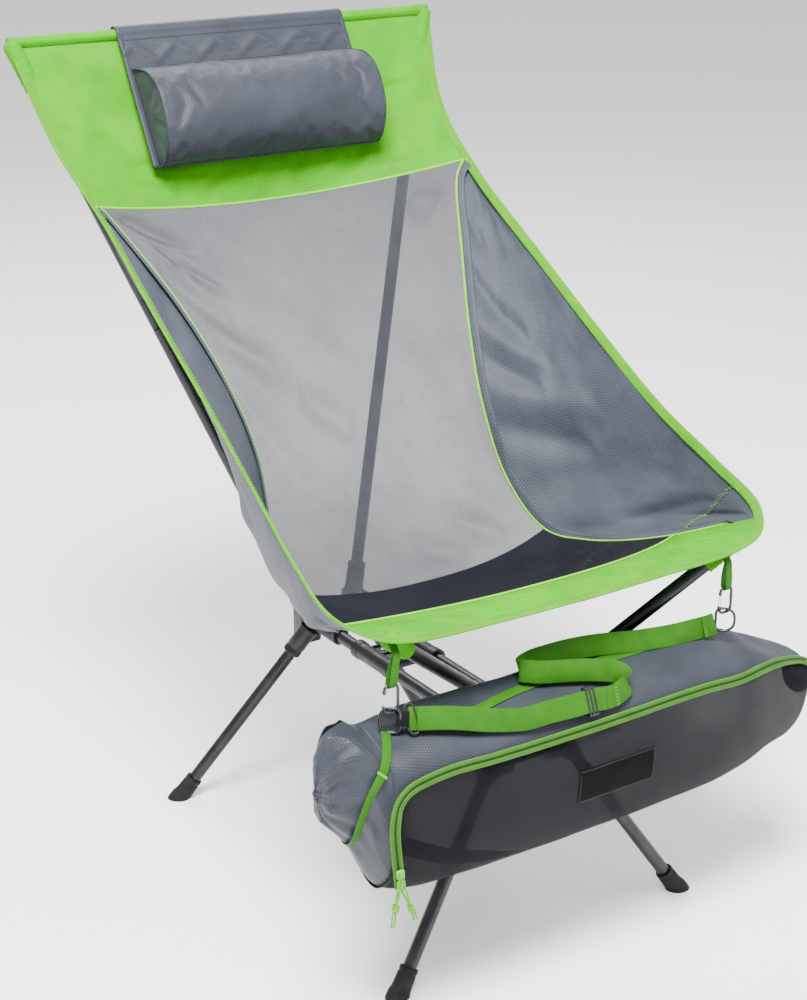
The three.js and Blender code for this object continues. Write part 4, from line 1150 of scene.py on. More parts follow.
# ---------------------------------------------------------------- pillow
HEM_Y = 396 * MM
HEM_Z = 978 * MM
HEM_R = 7.3 * MM
PILLOW_HALF = 163 * MM
FLAP_DOWN = np.array([0, -0.5, -0.866])
FLAP_OUT = np.array([0, -0.866, 0.5])
FLAP_START = np.array([0, HEM_Y - HEM_R - 3.6 * MM, HEM_Z])
BOLSTER_TOP = 46 * MM
BOLSTER_END = 172 * MM


def on_flap(x, down, proud):
    return np.array([x, 0, 0]) + FLAP_START + FLAP_DOWN * down + FLAP_OUT * proud


def soften(obj, pinned, pressure, cap, growth):
    """Blows a closed piece up a little as cloth, with some points held, and keeps the result."""
    before = np.array([v.co[:] for v in obj.data.vertices])
    group = obj.vertex_groups.new(name="held")
    for index, weight in enumerate(pinned):
        if weight > 0:
            group.add([index], float(weight), "REPLACE")
    cloth = obj.modifiers.new("cloth", "CLOTH")
    settings = cloth.settings
    settings.vertex_group_mass = "held"
    settings.quality = 6
    settings.mass = 0.15
    settings.tension_stiffness = settings.compression_stiffness = 25
    settings.shear_stiffness = 12
    settings.bending_stiffness = 1.5
    settings.shrink_min = settings.shrink_max = -growth
    settings.use_pressure = True
    settings.uniform_pressure_force = pressure
    settings.effector_weights.gravity = 0
    cloth.collision_settings.use_self_collision = False
    scene = bpy.context.scene
    frames = 20
    scene.frame_start, scene.frame_end = 1, frames
    cloth.point_cache.frame_start, cloth.point_cache.frame_end = 1, frames
    for number in range(1, frames + 1):
        scene.frame_set(number)
    graph = bpy.context.evaluated_depsgraph_get()
    made = obj.evaluated_get(graph).to_mesh()
    after = np.array([v.co[:] for v in made.vertices])
    obj.evaluated_get(graph).to_mesh_clear()
    obj.modifiers.remove(cloth)
    scene.frame_set(1)
    moved = after - before
    far = np.linalg.norm(moved, axis=1, keepdims=True)
    moved *= np.minimum(1, cap / np.maximum(far, 1e-9))
    obj.data.vertices.foreach_set("co", (before + moved).ravel())
    obj.data.update()
    obj.vertex_groups.clear()


def make_flap():
    angles = np.linspace(-0.15, math.pi, 16)
    wrap = [
        np.array([0, HEM_Y + (HEM_R + 2.6 * MM) * math.cos(a), HEM_Z + (HEM_R + 2.6 * MM) * math.sin(a)])
        for a in angles
    ]
    front = [on_flap(0, d, -1.0 * MM) for d in np.linspace(2 * MM, BOLSTER_END + 1 * MM, 60)]
    path = np.array(wrap + front)
    columns = 110
    x = np.linspace(-PILLOW_HALF, PILLOW_HALF, columns)
    grid = path[:, None] + np.stack([x, 0 * x, 0 * x], axis=1)[None]
    down = np.clip(np.concatenate([np.zeros(len(wrap)), np.linspace(0, 1, len(front))]), 0, 1)
    across, run = np.meshgrid(np.linspace(0, 1, columns), down * (BOLSTER_END + 4 * MM) / MM)
    # Slack between the two stitch lines makes a zig-zag of low folds.
    between = np.clip((run - 6) / 8, 0, 1) * np.clip((BOLSTER_TOP / MM - run) / 8, 0, 1)
    zigzag = (np.abs((across * 5.5 + 0.25) % 1 - 0.5) * 2) * 22 + 12
    height = between * (2.6 * MM * np.exp(-(((run - zigzag) / 6) ** 2)) + 0.9 * MM * ripple(across, run / 40, 9, 41))
    seam = np.exp(-(((run - 6) / 1.6) ** 2)) + np.exp(-(((run - BOLSTER_TOP / MM) / 1.6) ** 2))
    height -= 0.7 * MM * seam
    grid = grid + FLAP_OUT * height[..., None]
    flap = sheet_object("pillow_flap", grid, SLATE, 1.6 * MM)
    wear(flap, "headrest", "slate_cloth", "pillow")
    half = PILLOW_HALF - 2 * MM
    lines = {
        "upper": [on_flap(v, 6 * MM, 0.1 * MM) for v in np.linspace(-half, half, 60)],
        "lower": [on_flap(v, BOLSTER_TOP - 3 * MM, 0.1 * MM) for v in np.linspace(-half, half, 60)]
    }
    for label, side in SIDES.items():
        lines[label] = [on_flap(side * (PILLOW_HALF - 6 * MM), d, 0.2 * MM) for d in np.linspace(0, 172 * MM, 30)]
        edge = [on_flap(side * (PILLOW_HALF - 3 * MM), d, 0.4 * MM) for d in np.linspace(0, BOLSTER_END, 40)]
        hem = ribbed(f"pillow_side_hem_{label}", edge, band(7 * MM, 1.4 * MM), SLATE, FLAP_OUT)
        wear(hem, "headrest", "slate_cloth")
    for label, line in lines.items():
        row = stitches(f"pillow_stitches_{label}", line, FLAP_OUT, DARK_THREAD, 2.6 * MM)
        wear(row, "headrest", "slate_cloth")


def make_bolster():
    """A stuffed bolster with flat end panels, blown up as cloth from a slightly smaller shape."""
    front = Curve(
        [
            (BOLSTER_TOP - 2 * MM, 1 * MM, 0), (50 * MM, 14 * MM, 0), (64 * MM, 38 * MM, 0), (86 * MM, 53 * MM, 0),
            (112 * MM, 56 * MM, 0), (140 * MM, 50 * MM, 0), (163 * MM, 33 * MM, 0),
            (BOLSTER_END + 2 * MM, 14 * MM, 0), (BOLSTER_END, 3 * MM, 0)
        ]
    )
    front_count, back_count = 56, 22
    outline = front(front.even(front_count))[:, :2]
    back = np.stack(
        [np.linspace(BOLSTER_END, BOLSTER_TOP - 2 * MM, back_count + 2)[1:-1], np.full(back_count, 0.4 * MM)], axis=1
    )
    ring = np.vstack([outline, back])
    centre = np.array([112 * MM, 22 * MM])
    half = PILLOW_HALF - 7 * MM
    body_x = np.linspace(-half, half, 84)
    shells = [(-half - 1 * MM * (1 - share), share) for share in np.linspace(0.12, 0.94, 8)]
    rows = shells + [(x, 1.0) for x in body_x] + [(-x, s) for x, s in shells[::-1]]
    verts = []
    uv = []
    run = run_along(ring)
    for x, share in rows:
        for k, (down, proud) in enumerate(centre + (ring - centre) * share):
            # Tiny starting unevenness lets the cloth buckle where it will.
            push = 0.5 * MM * noise.noise((x * 60, down * 60, proud * 60))
            verts.append(on_flap(x, down, max(proud + (push if k < front_count else 0), 0.3 * MM)))
            if share == 1.0:
                uv.append((x, run[k]))
            else:
                uv.append((down + 0.5, proud + 0.5))
    count = len(ring)
    faces = grid_faces(len(rows), count, closed=True)
    for first, flip in ((0, True), ((len(rows) - 1) * count, False)):
        cap = [first + k for k in range(count)]
        faces.append(tuple(reversed(cap)) if flip else tuple(cap))
    bolster = mesh_object("pillow_bolster", verts, faces, SLATE, uv)
    weld(bolster, 1e-7)
    held = []
    for x, share in rows:
        for k in range(count):
            seam = share == 1.0 and abs(abs(x) - half) < 1e-6
            held.append(1.0 if k >= front_count or k in (0, front_count - 1) else (0.82 if seam else 0.0))
    soften(bolster, held, 3.0, 5 * MM, 0.008)
    settle(bolster, 1)
    wear(bolster, "headrest", "slate_cloth")
    for label, side in SIDES.items():
        seam = np.array([on_flap(side * (half + 0.6 * MM), d, p) for d, p in outline])
        out = np.array([on_flap(0, d, p) - on_flap(0, 108 * MM, 16 * MM) for d, p in outline])
        piping = ribbed(f"pillow_end_seam_{label}", seam, circle(1.0 * MM, 8), SLATE, out)
        wear(piping, "headrest", "slate_cloth")


make_flap()
make_bolster()

# ---------------------------------------------------------------- sack
SACK_Y = -349 * MM
SACK_STATIONS = np.array(
    [
        (-328, 316, 0.3, 0.34), (-313, 318, 0.46, 0.56), (-290, 305, 0.66, 0.74), (-262, 271, 0.88, 0.9),
        (-235, 267, 0.95, 0.96), (-205, 266, 0.98, 1), (-150, 263, 1, 1), (0, 262, 1, 1), (150, 264, 1, 1),
        (225, 260, 0.93, 0.87), (268, 260.5, 0.84, 0.705), (306, 258, 0.72, 0.57), (334, 276, 0.46, 0.27)
    ]
) * (MM, MM, 1, 1)
SACK_SECTION = Curve(
    mm(
        (40, 101, 0), (10, 98, 0), (-36, 79, 0), (-54, 36, 0), (-53, -24, 0), (-35, -70, 0), (-5, -92, 0),
        (28, -78, 0), (46, -30, 0), (49, 30, 0), (49, 75, 0)
    ), closed=True
)
SACK_ROUND = SACK_SECTION.even(401)
ZIP_PLACES = np.array(
    [
        (-264, 0.25), (-251, 0.222), (-232, 0.212), (-197, 0.207), (-150, 0.205), (-100, 0.205), (-50, 0.205),
        (0, 0.205), (50, 0.205), (100, 0.205), (150, 0.205), (199, 0.2), (240, 0.18), (268, 0.165), (300, 0.15),
        (320, 0.152), (330, 0.172)
    ]
) * (MM, 1)
NET_BACK_PLACE = 0.9
WINDOW_X = -264 * MM
SACK_RIGHT = 334 * MM
FOLD_LIMIT = 7 * MM


def sack_station(x):
    """Height of the middle, depth and height of the sack's section at each x, smoothly joined."""
    t = np.linspace(0, 1, 600)
    a, b = Curve(SACK_STATIONS[:, [0, 1, 2]])(t), Curve(SACK_STATIONS[:, [0, 3, 3]])(t)
    return np.interp(x, a[:, 0], a[:, 1]), np.interp(x, a[:, 0], a[:, 2]), np.interp(x, b[:, 0], b[:, 1])


def sack_surface(x, place, proud=0.0):
    """Points on the sack and their outward directions, for arrays of x and of places round the section."""
    x, place = np.broadcast_arrays(np.asarray(x, float), np.asarray(place, float))
    shape = x.shape
    x, place = x.ravel(), np.mod(place.ravel(), 1.0)
    t = np.interp(place, np.linspace(0, 1, 401), SACK_ROUND)
    section = SACK_SECTION(t)
    ahead = SACK_SECTION(np.mod(t + 0.002, 1)) - SACK_SECTION(np.mod(t - 0.002, 1))
    middle, deep, tall = sack_station(x)
    out = np.stack([0 * x, -ahead[:, 1] * tall, ahead[:, 0] * deep], axis=1)
    out = unit(out)
    flip = np.sign(np.sum(out[:, 1:] * section[:, :2], axis=1))
    out *= np.where(flip == 0, 1, flip)[:, None]
    point = np.stack([x, SACK_Y + section[:, 0] * deep, middle + section[:, 1] * tall], axis=1)
    point += out * np.broadcast_to(np.asarray(proud, float), shape).ravel()[:, None]
    return point.reshape(*shape, 3), out.reshape(*shape, 3)


def crumple(x, place):
    """Folds of the sack's cloth: sharp ones gathered at the left end, soft ripples along the rest."""
    gathered = np.clip((-0.258 - x) / 0.03, 0, 1)
    height = np.zeros(x.shape)
    for index in np.ndindex(x.shape):
        p = (x[index] * 14, math.cos(2 * math.pi * place[index]) * 1.5, math.sin(2 * math.pi * place[index]) * 1.5)
        soft = noise.noise(p) + 0.3 * noise.noise([2.6 * v for v in p])
        pleats = noise.noise((x[index] * 9, place[index] * 16 + 3 * x[index], 8.2))
        ridge = 1 - abs(2 * noise.noise((x[index] * 22, place[index] * 9 - x[index] * 8, 2.7)))
        height[index] = 2.2 * MM * soft + gathered[index] * (6.5 * MM * pleats + 4.5 * MM * (ridge - 0.5))
    return height


CINCH_X = -292 * MM


def cinch(x, place):
    """How far the compression strap and the zip's end draw the cloth in."""
    return -5 * MM * np.exp(-(((x - CINCH_X - 0.02 * np.sin(2 * math.pi * place)) / 0.014) ** 2))


def sack_sheet(name, x, place, material, amount=1.0, thickness=0.9 * MM):
    """A sheet of the sack's cloth over x and places round the section, with its points and fold heights."""
    if np.ndim(place) == 1:
        columns, rows = np.meshgrid(x, place)
    else:
        columns, rows = np.broadcast_to(x, place.shape), place
    height = crumple(columns, rows) * amount + cinch(columns, rows)
    height = np.minimum(height, FOLD_LIMIT)
    points, _ = sack_surface(columns, rows, height)
    obj = sheet_object(name, points, material, thickness)
    return obj, points, height


def make_sack():
    # Left end: the cloth all round, closed by a gathered cap.
    left_x = np.linspace(-328 * MM, WINDOW_X, 60)
    left, points, _ = sack_sheet("sack_end_cloth", left_x, np.linspace(0, 1, 220), SLATE)
    wear(left, "sack", "slate_cloth", "sack_shell")
    rim = points[:, 0]
    middle = rim[:-1].mean(axis=0)
    rings = []
    for share in np.linspace(1, 0.02, 12):
        ring = middle + (rim - middle) * share
        ring[:, 0] = middle[0] - 5 * MM * math.sin(math.pi * (1 - share) / 2) + 4 * MM * np.array(
            [noise.noise((share * 4, 14 * i / len(rim), 1)) for i in range(len(rim))]
        ) * (1 - share)
        ring[:, 0] = np.maximum(ring[:, 0], -343 * MM)
        rings.append(ring)
    cap = sheet_object("sack_gathered_cap", np.array(rings), SLATE, 0.9 * MM)
    wear(cap, "sack", "slate_cloth")
    # Top: from behind, over the top, down to the zip.
    top_x = np.linspace(WINDOW_X, SACK_RIGHT, 200)
    edge = np.interp(top_x, ZIP_PLACES[:, 0], ZIP_PLACES[:, 1])
    share = np.linspace(0, 1, 90)[:, None]
    place = (NET_BACK_PLACE - 1) * (1 - share) + edge * share
    top, _, _ = sack_sheet("sack_top_cloth", top_x, place, SLATE)
    wear(top, "sack", "slate_cloth")
    # Netting: all the rest, and the right end.
    share = np.linspace(0, 1, 150)[:, None]
    place = edge * (1 - share) + NET_BACK_PLACE * share
    net, _, height = sack_sheet("sack_net", top_x, place, SACK_NET, 0.5, 0.4 * MM)
    mark_bunched(net, height, 1.4 * MM)
    wear(net, "sack", "dark_netting", "sack_netting")
    end, _ = sack_surface(np.full(120, SACK_RIGHT), np.linspace(0, 1, 120))
    centre = end[:-1].mean(axis=0)
    rings = np.array(
        [centre + (end - centre) * s + np.array([4 * MM * (1 - s * s), 0, 0]) for s in (1, 0.8, 0.5, 0.02)]
    )
    rings[:, :, 0] = np.minimum(rings[:, :, 0], 342 * MM)
    end_cap = sheet_object("sack_right_cap", rings, DARK_NET, 0.8 * MM)
    wear(end_cap, "sack", "dark_netting")
    # Dark binding over the seams at the back and at the window's left side.
    xs = np.linspace(WINDOW_X, 330 * MM, 160)
    seam, out = sack_surface(xs, np.full(160, NET_BACK_PLACE), 1.2 * MM)
    wear(ribbed("sack_back_seam", seam, band(8 * MM, 1.4 * MM), BLACK_TAPE, out), "sack", "slate_cloth")
    rounds = np.linspace(0.42, NET_BACK_PLACE, 120)
    seam, out = sack_surface(np.full(120, WINDOW_X), rounds, 1.2 * MM)
    wear(ribbed("sack_side_seam", seam, band(8 * MM, 1.4 * MM), BLACK_TAPE, out), "sack", "slate_cloth")


ZIP_PROUD = 4.2 * MM
ZIP_LOW_END = (mm((-260, -393, 205))[0], np.array([-0.2, -1, 0]))
ZIP_HIGH_END = (mm((-272, -403, 288))[0], np.array([-0.2, -1, 0]))


def zip_line():
    """Points and outward directions of the zip, as in the CAD: straight up, round the corner, and along."""
    rows = [ZIP_LOW_END, ZIP_HIGH_END]
    for x, place in ZIP_PLACES:
        point, out = sack_surface(x, place, ZIP_PROUD)
        rows.append((point, out))
    points = Curve([r[0] for r in rows])
    normals = Curve([unit(r[1]) for r in rows])
    places = points.even(260)
    return points(places), unit(normals(places))


def make_zip():
    points, out = zip_line()
    _, across, out = frames_along(points, out)
    tape = ribbed("zip_tape", points - out * 0.6 * MM, band(12 * MM, 1.2 * MM), ZIP_GREEN, out)
    wear(tape, "sack", "green_cloth", "zip")
    for name, offset in (("upper", -3.1 * MM), ("lower", 3.1 * MM)):
        line = points + across * offset + out * 0.5 * MM
        ridge = ribbed(f"zip_ridge_{name}", line, circle(2.1 * MM, 14, 0.66), ZIP_GREEN, out)
        wear(ridge, "sack", "green_cloth")
    groove = ribbed("zip_groove", points + out * 0.35 * MM, band(2 * MM, 0.5 * MM), ZIP_DARK, out)
    wear(groove, "sack", "green_cloth")
    for k, offset in enumerate((-5.3 * MM, 5.3 * MM)):
        row = stitches(f"zip_stitches_{k}", points + across * offset + out * 0.5 * MM, out, GREEN_THREAD, 2.4 * MM)
        wear(row, "sack", "green_cloth")
    up = unit(ZIP_HIGH_END[0] - ZIP_LOW_END[0])
    face = unit(ZIP_LOW_END[1] - up * (ZIP_LOW_END[1] @ up))
    side = np.cross(up, face)
    for name, body, distance in (("lower", "slider_lower", 8 * MM), ("upper", "slider_upper", 22 * MM)):
        centre = ZIP_LOW_END[0] + up * distance + face * 4.6 * MM
        make_slider(name, body, centre, up, face, side)


def make_slider(name, body, centre, up, face, side):
    turn = np.stack([side, up, face], axis=1)
    shell = cut_block(f"slider_body_{name}", centre, (8.6 * MM, 10.6 * MM, 4 * MM), ZIP_METAL, 1.3 * MM, turn)
    bridge_points = [centre + up * (4 * math.cos(a)) * MM + face * (1.6 + 2.4 * math.sin(a)) * MM
                     for a in np.linspace(0, math.pi, 12)]
    bridge = ribbed("slider_bridge", bridge_points, band(2.6 * MM, 1 * MM), ZIP_METAL)
    slider = joined(f"zip_slider_body_{name}", [shell, bridge])
    wear(slider, body, "green_cloth", f"zip_slider_{name}")
    # A loop of thin cord through the slider, tied in a knot.
    lean = -1 if name == "upper" else 0.3
    eye = centre + face * 3.2 * MM
    knot = eye + mm((lean * 13, -9, -26 if name == "upper" else -20))[0]
    out_way = unit(knot - eye)
    spread = unit(np.cross(out_way, face)) * 1.6 * MM
    loop = Curve([knot, eye + (knot - eye) * 0.5 + spread, eye + spread * 0.6, eye - spread * 0.6,
                  eye + (knot - eye) * 0.5 - spread, knot])
    cord = ribbed(f"pull_cord_{name}", loop(np.linspace(0, 1, 50)), circle(1.15 * MM, 10), CORD)
    wear(cord, body, "green_cloth")
    turns = []
    for t in np.linspace(0, 1, 70):
        a = t * 3 * 2 * math.pi
        r = 2.3 * MM + 0.5 * MM * math.sin(2 * a)
        turns.append(
            knot + out_way * (t * 7 - 1) * MM
            + (unit(spread) * math.cos(a) + unit(np.cross(out_way, spread)) * math.sin(a)) * r
        )
    wear(ribbed(f"pull_knot_{name}", turns, circle(1.35 * MM, 10), CORD), body, "green_cloth")
    for k, way in enumerate((1, -1)):
        length = 15 if name == "upper" else 7
        tail = Curve([knot + out_way * 4 * MM, knot + out_way * 9 * MM + spread * way,
                      knot + out_way * (6 + length) * MM + spread * way * (0.6 + 0.8 * k) + mm((0, 0, -2))[0]])
        wear(ribbed(f"pull_tail_{name}_{k}", tail(np.linspace(0, 1, 14)), circle(1.05 * MM, 10), CORD), body,
             "green_cloth")


make_sack()
make_zip()


# ---------------------------------------------------------------- straps, rings and clips
LOOP_X = {"left": -242 * MM, "right": 214 * MM}
LOOP_Y = -349 * MM
CLIP_TOP_Z = 415 * MM
CLIP_HEIGHT = 30.6 * MM
CLIP_WIDTH = 16.6 * MM
CLIP_WIRE_R = 1.7 * MM
RING_TURN = math.radians(-38)
RING_Z = 374.7 * MM
LOOP_TOP_Z = 443 * MM


def closed_wire(name, points, radius, normal, material, count=90, sides=12):
    """Wire bent to a closed outline."""
    curve = Curve(points, closed=True)
    places = curve.even(count + 1)[:-1]
    centre = curve(places)
    along = unit(np.roll(centre, -1, axis=0) - np.roll(centre, 1, axis=0))
    side = unit(np.cross(along, normal))
    angles = np.arange(sides) * 2 * math.pi / sides
    rings = (
        centre[:, None] + side[:, None] * (radius * np.cos(angles))[None, :, None] + np.asarray(normal)[None, None]
        * (radius * np.sin(angles))[None, :, None]
    )
    faces = grid_faces(count + 1, sides, closed=True)
    faces = [tuple(corner % (count * sides) for corner in face) for face in faces]
    obj = mesh_object(name, rings.reshape(-1, 3), faces, material)
    weld(obj, 1e-7)
    return obj


def make_clip(label, side):
    x = LOOP_X[label]
    centre_z = CLIP_TOP_Z - CLIP_HEIGHT / 2
    w = CLIP_WIDTH / 2
    bend = Curve(
        [
            (x + u * MM, LOOP_Y, centre_z + v * MM)
            for u, v in ((-8.3, -8.2), (-7, -13.6), (-3.4, -15.3), (3.4, -15.3), (7, -13.9), (8.3, -10.4), (8.5, 0),
                         (8.3, 10.4), (7, 13.9), (3.4, 15.3), (-3.4, 15.3), (-7, 13.6), (-8.3, 8.2))
        ]
    )
    steps = np.linspace(0, 1, 90)
    wire = ribbed(f"clip_hook_{label}", bend(steps), circle(CLIP_WIRE_R, 14), BLACK_METAL, BACK)
    nose = turned("nose", np.array([x - w, LOOP_Y, centre_z + 7.4 * MM]), UP,
                  profile_from(0, (0, 0), (2, 0.2), (2.1, 2.6), (1.5, 3.4), (0, 3.6)), BLACK_METAL, 16)
    hinge = turned("hinge", np.array([x - w, LOOP_Y - 2.1 * MM, centre_z - 8.6 * MM]), BACK,
                   profile_from(0, (0, 0), (2.1, 0.2), (2.1, 4), (0, 4.2)), BLACK_METAL, 16)
    wear(joined(f"clip_body_{label}", [wire, nose, hinge]), "sack", "black_metal", f"carabiner_{label}")
    gate = closed_wire(
        f"clip_gate_wire_{label}",
        [
            (x - w, LOOP_Y + u * MM, centre_z + v * MM) for u,
            v in ((-1, -6.8), (1, -6.8), (1.1, 0), (0.7, 6.2), (0, 7), (-0.7, 6.2), (-1.1, 0))
        ], 0.55 * MM, RIGHT, STEEL, 60, 10
    )
    wear(gate, f"gate_{label}", "wire", f"carabiner_gate_{label}")
    # The D-ring hangs in the clip.
    across = np.array([math.cos(RING_TURN), math.sin(RING_TURN), 0])
    normal = np.array([-math.sin(RING_TURN), math.cos(RING_TURN), 0])
    outline = [
        (-9, -10), (-9.4, 0), (-9, 10), (-6, 13.4), (3, 13.4), (10, 9), (12, 0), (10, -9), (3, -13.4), (-6, -13.4)
    ]
    points = [np.array([x, LOOP_Y, RING_Z]) + across * side * u * MM + UP * v * MM for u, v in outline]
    ring = closed_wire(f"ring_{label}", points, 1.6 * MM, normal, BLACK_METAL)
    wear(ring, "sack", "black_metal", f"d_ring_{label}")
    make_loop(label, x)


def make_loop(label, x):
    """A narrow webbing loop, sewn under the edge of the seat, with the clip hanging in it."""
    bottom = CLIP_TOP_Z - CLIP_WIRE_R - 1.4 * MM
    lean = 6 * MM if label == "left" else 0
    for k, way in enumerate((-1, 1)):
        path = Curve(
            [
                (x, LOOP_Y, bottom), (x, LOOP_Y + way * 3.4 * MM, bottom + 2.6 * MM),
                (x + lean * 0.25, LOOP_Y + way * 4.3 * MM, bottom + 12 * MM),
                (x + lean * 0.6, LOOP_Y + way * 3.1 * MM, bottom + 24 * MM),
                (x + lean, LOOP_Y + way * 1.6 * MM, LOOP_TOP_Z + 4 * MM),
                (x + lean * 1.2, LOOP_Y + 9 * MM + way * 1.2 * MM, LOOP_TOP_Z + 14 * MM)
            ]
        )
        points = path(np.linspace(0, 1, 40))
        along = unit(np.gradient(points, axis=0))
        normals = np.cross(along, RIGHT)
        width = 1 + 0.25 * np.sin(np.linspace(0, 1, 40) * math.pi)
        tape = ribbed(f"loop_tape_{label}_{k}", points, band(7.5 * MM, 1.3 * MM), WEBBING, normals,
                      scale=np.stack([width, np.ones(40)], axis=1))
        wear(tape, "chair", "webbing", *([f"webbing_loop_{label}"] if k == 0 else []))


STRAP_ROUTE = Curve(
    mm(
        (-226, -357, 376), (-184, -372, 371), (-140, -382, 361), (-100, -387.3, 353.1), (-72, -388.5, 352.5),
        (-40, -389.9, 351.8), (-8, -391.3, 351.1), (20, -392.5, 350.5), (42, -386, 357), (38, -374, 364),
        (10, -364, 371), (-25, -354, 375), (-56, -344, 378), (-67, -335, 380), (-48, -326, 381), (-5, -325, 381),
        (49, -329, 378), (97, -339, 374), (139, -345, 372.5), (183, -344, 370), (203, -344.5, 371)
    )
)
STRAP_LEAN = math.radians(22)
STRAP_UP = np.array([0, math.sin(STRAP_LEAN), math.cos(STRAP_LEAN)])


def strap_piece(name, start, end, lift, material, steps=160):
    """A stretch of the shoulder strap, lifted off its line on the side that faces out."""
    places = np.linspace(start, end, steps)
    points = STRAP_ROUTE(places)
    along = STRAP_ROUTE.along(places)
    up = STRAP_UP + np.stack([0 * places, 0.1 * np.sin(places * 31), 0 * places], axis=1)
    normals = unit(np.cross(along, up))
    waver = np.array([noise.noise((p * 16, 3.3, 0)) for p in places])[:, None]
    points = points + normals * lift + UP * waver * 1.2 * MM
    return ribbed(name, points, band(25 * MM, 1.7 * MM), material, normals)


def strap_frame(place):
    """A point of the strap's line, with its directions along and out."""
    along = STRAP_ROUTE.along(place)[0]
    return STRAP_ROUTE(place), along, unit(np.cross(along, STRAP_UP))


def make_straps():
    strap = strap_piece("strap_webbing", 0, 1, 0, WEBBING, steps=420)
    wear(strap, "sack", "webbing", "shoulder_strap")
    # Where the strap is doubled back on itself: the end under the adjuster and the turns round the rings.
    for name, start, end, lift in (("front_layer", 0.01, 0.325, 2.2 * MM), ("right_turn", 0.955, 0.998, 2.2 * MM)):
        layer = strap_piece(f"strap_{name}", start, end, lift, WEBBING)
        wear(layer, "sack", "webbing")
    for k, place in enumerate((0.347, 0.958)):
        centre, along, out = strap_frame(place)
        line = np.array([centre + STRAP_UP * v * MM + out * 2.4 * MM for v in np.linspace(-11, 11, 20)])
        for row_number, shift in enumerate((0, 2.4 * MM)):
            row = stitches(f"strap_stitches_{k}_{row_number}", line + along * shift, out, GREEN_THREAD, 2.2 * MM)
            wear(row, "sack", "webbing")
    make_adjuster()
    # The keeper: a flat ring that holds the strap to the left D-ring.
    centre, along, out = strap_frame(0.004)
    corner = [(-4, -15.5), (4, -15.5), (4, 15.5), (-4, 15.5)]
    ring = closed_wire(
        "keeper_ring",
        [
            centre + along * (u * t) * MM + STRAP_UP * (v * w) * MM for (u, v),
            (t, w) in zip([c for c in corner for _ in (0, 1)], [(1, 0.9), (0.7, 1), (0.7, 1), (1, 0.9)] * 2)
        ], 1.2 * MM, out, BLACK_METAL
    )
    wear(ring, "sack", "black_metal")
    tab = Curve(
        [centre + out * 1.6 * MM - along * 3 * MM, centre + out * 2.4 * MM - along * 9 * MM, centre - along * 17 * MM]
    )
    wear(ribbed("ring_tab", tab(np.linspace(0, 1, 20)), band(16 * MM, 1.6 * MM), BLACK_TAPE, out), "sack", "webbing")
    make_top_strap()


def make_adjuster():
    """A three-bar slide: a moulded frame with the strap threaded through it."""
    centre = mm((-14, -391, 351.2))[0]
    along = unit(np.array([0.99882, -0.04343, -0.02171]))
    out = unit(np.cross(along, STRAP_UP))
    turn = np.stack([along, out, STRAP_UP], axis=1)
    parts = []
    for v in (-14.6, 14.6):
        parts.append(
            cut_block("bar", centre + STRAP_UP * v * MM, (12 * MM, 7.4 * MM, 2.6 * MM), BLACK_METAL, 0.8 * MM, turn)
        )
    for u in (-4.8, 4.8):
        for w in (-3.4, 3.4):
            parts.append(cut_block("bar", centre + along * u * MM + out * w * MM, (2.4 * MM, 1.6 * MM, 30 * MM),
                                   BLACK_METAL, 0.6 * MM, turn))
    parts.append(
        cut_block("bar", centre + out * 3.2 * MM, (2.4 * MM, 1.8 * MM, 30 * MM), BLACK_METAL, 0.6 * MM, turn)
    )
    wear(joined("adjuster_frame", parts), "adjuster", "black_metal", "strap_adjuster")


def lay_on_sack(rows, count, lift, taut=7):
    """A line over the sack through (x, place round the section) rows."""
    curve = Curve([(x * MM, place, 0) for x, place in rows])
    track = curve(np.linspace(0, 1, count))
    columns, rounds = track[:, 0], track[:, 1]
    height = np.minimum(crumple(columns, np.mod(rounds, 1)) + cinch(columns, rounds), FOLD_LIMIT)
    points, out = sack_surface(columns, rounds, np.maximum(height, -3 * MM) * 0.8 + lift)
    smooth = np.ones(taut) / taut
    edge = taut // 2
    for i in range(3):
        points[edge:-edge, i] = np.convolve(points[:, i], smooth, "valid")
    return points, out


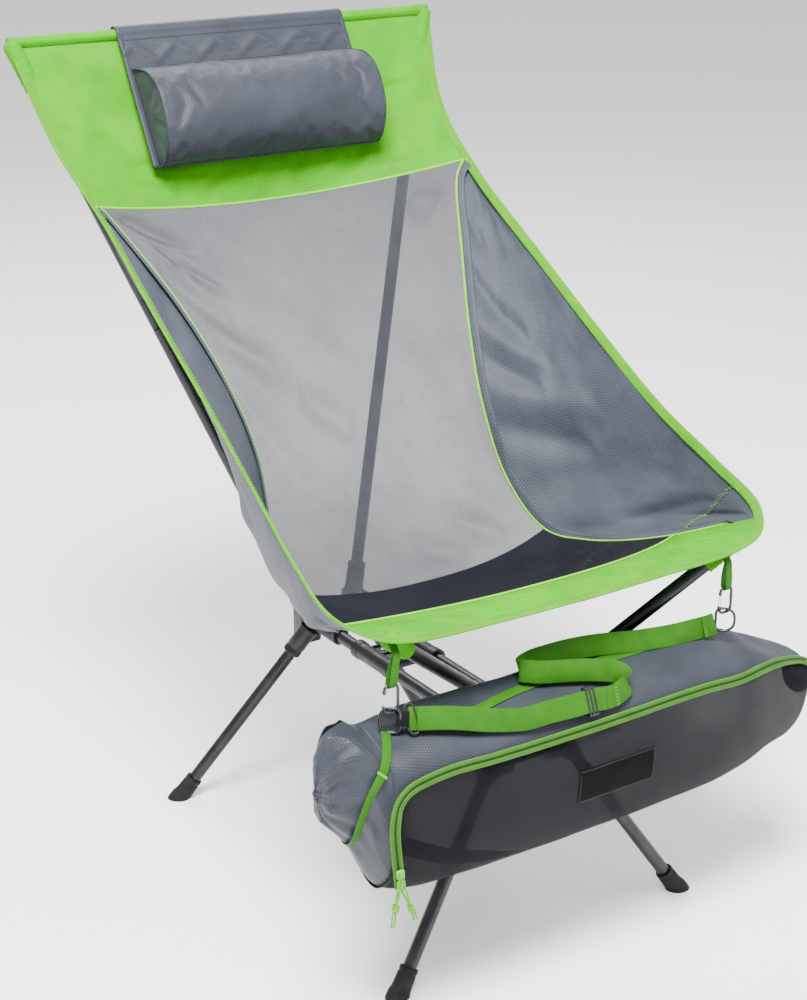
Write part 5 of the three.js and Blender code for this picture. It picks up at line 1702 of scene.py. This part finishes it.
def make_top_strap():
    """The compression strap: along the top of the sack, through the left ring and down round its end."""
    rows = [(196, 0.05), (120, 0.062), (60, 0.06), (0, 0.055), (-80, 0.07), (-150, 0.09), (-205, 0.1)]
    points, out = lay_on_sack(rows, 200, 1.6 * MM)
    wear(ribbed("top_strap", points, band(12 * MM, 1.5 * MM), WEBBING, out), "sack", "webbing")
    rows = [
        (-246, 0.07), (-258, 0.12), (-272, 0.18), (-286, 0.25), (-296, 0.33), (-300, 0.42), (-299, 0.5), (-294, 0.6),
        (-286, 0.75)
    ]
    points, out = lay_on_sack(rows, 120, 4.0 * MM, 25)
    wear(ribbed("end_strap", points, band(10 * MM, 1.5 * MM), WEBBING, out), "sack", "webbing")
    ends = [34, 36]
    bar = points[ends] + out[ends] * 0.9 * MM
    wear(ribbed("strap_bartack_0", bar, band(13 * MM, 1.2 * MM), GREEN_THREAD, out[ends]), "sack", "webbing")
    make_label()


def make_label():
    """A blank woven label, sewn flat on the netting, and the dark load tape inside it."""
    grid_x, grid_r = np.meshgrid(np.linspace(-37 * MM, 68 * MM, 30), np.linspace(0.295, 0.375, 16))
    height = np.minimum(crumple(grid_x, grid_r) * 0.7, FOLD_LIMIT) + 1.4 * MM
    points, out = sack_surface(grid_x, grid_r, height)
    label = sheet_object("blank_label", points, LABEL, 0.9 * MM)
    wear(label, "sack", "dark_netting")
    border = np.concatenate([points[0], points[1:, -1], points[-1, ::-1][1:], points[::-1, 0][1:]])
    centre = points.mean(axis=(0, 1))
    border = centre + (border - centre) * (0.975, 1, 0.95)
    normal = unit(out.mean(axis=(0, 1)))
    wear(
        stitches("label_stitches", border + normal * 0.5 * MM, normal, LABEL_THREAD, 1.8 * MM), "sack", "dark_netting"
    )
    rows = [(-258, 0.36), (-200, 0.42), (-150, 0.46), (-112, 0.5), (-98, 0.52)]
    points, out = lay_on_sack(rows, 80, -3 * MM)
    wear(ribbed("load_tape", points, band(20 * MM, 1.2 * MM), BLACK_TAPE, out), "sack", "dark_netting")


for label, side in SIDES.items():
    make_clip(label, side)
make_straps()
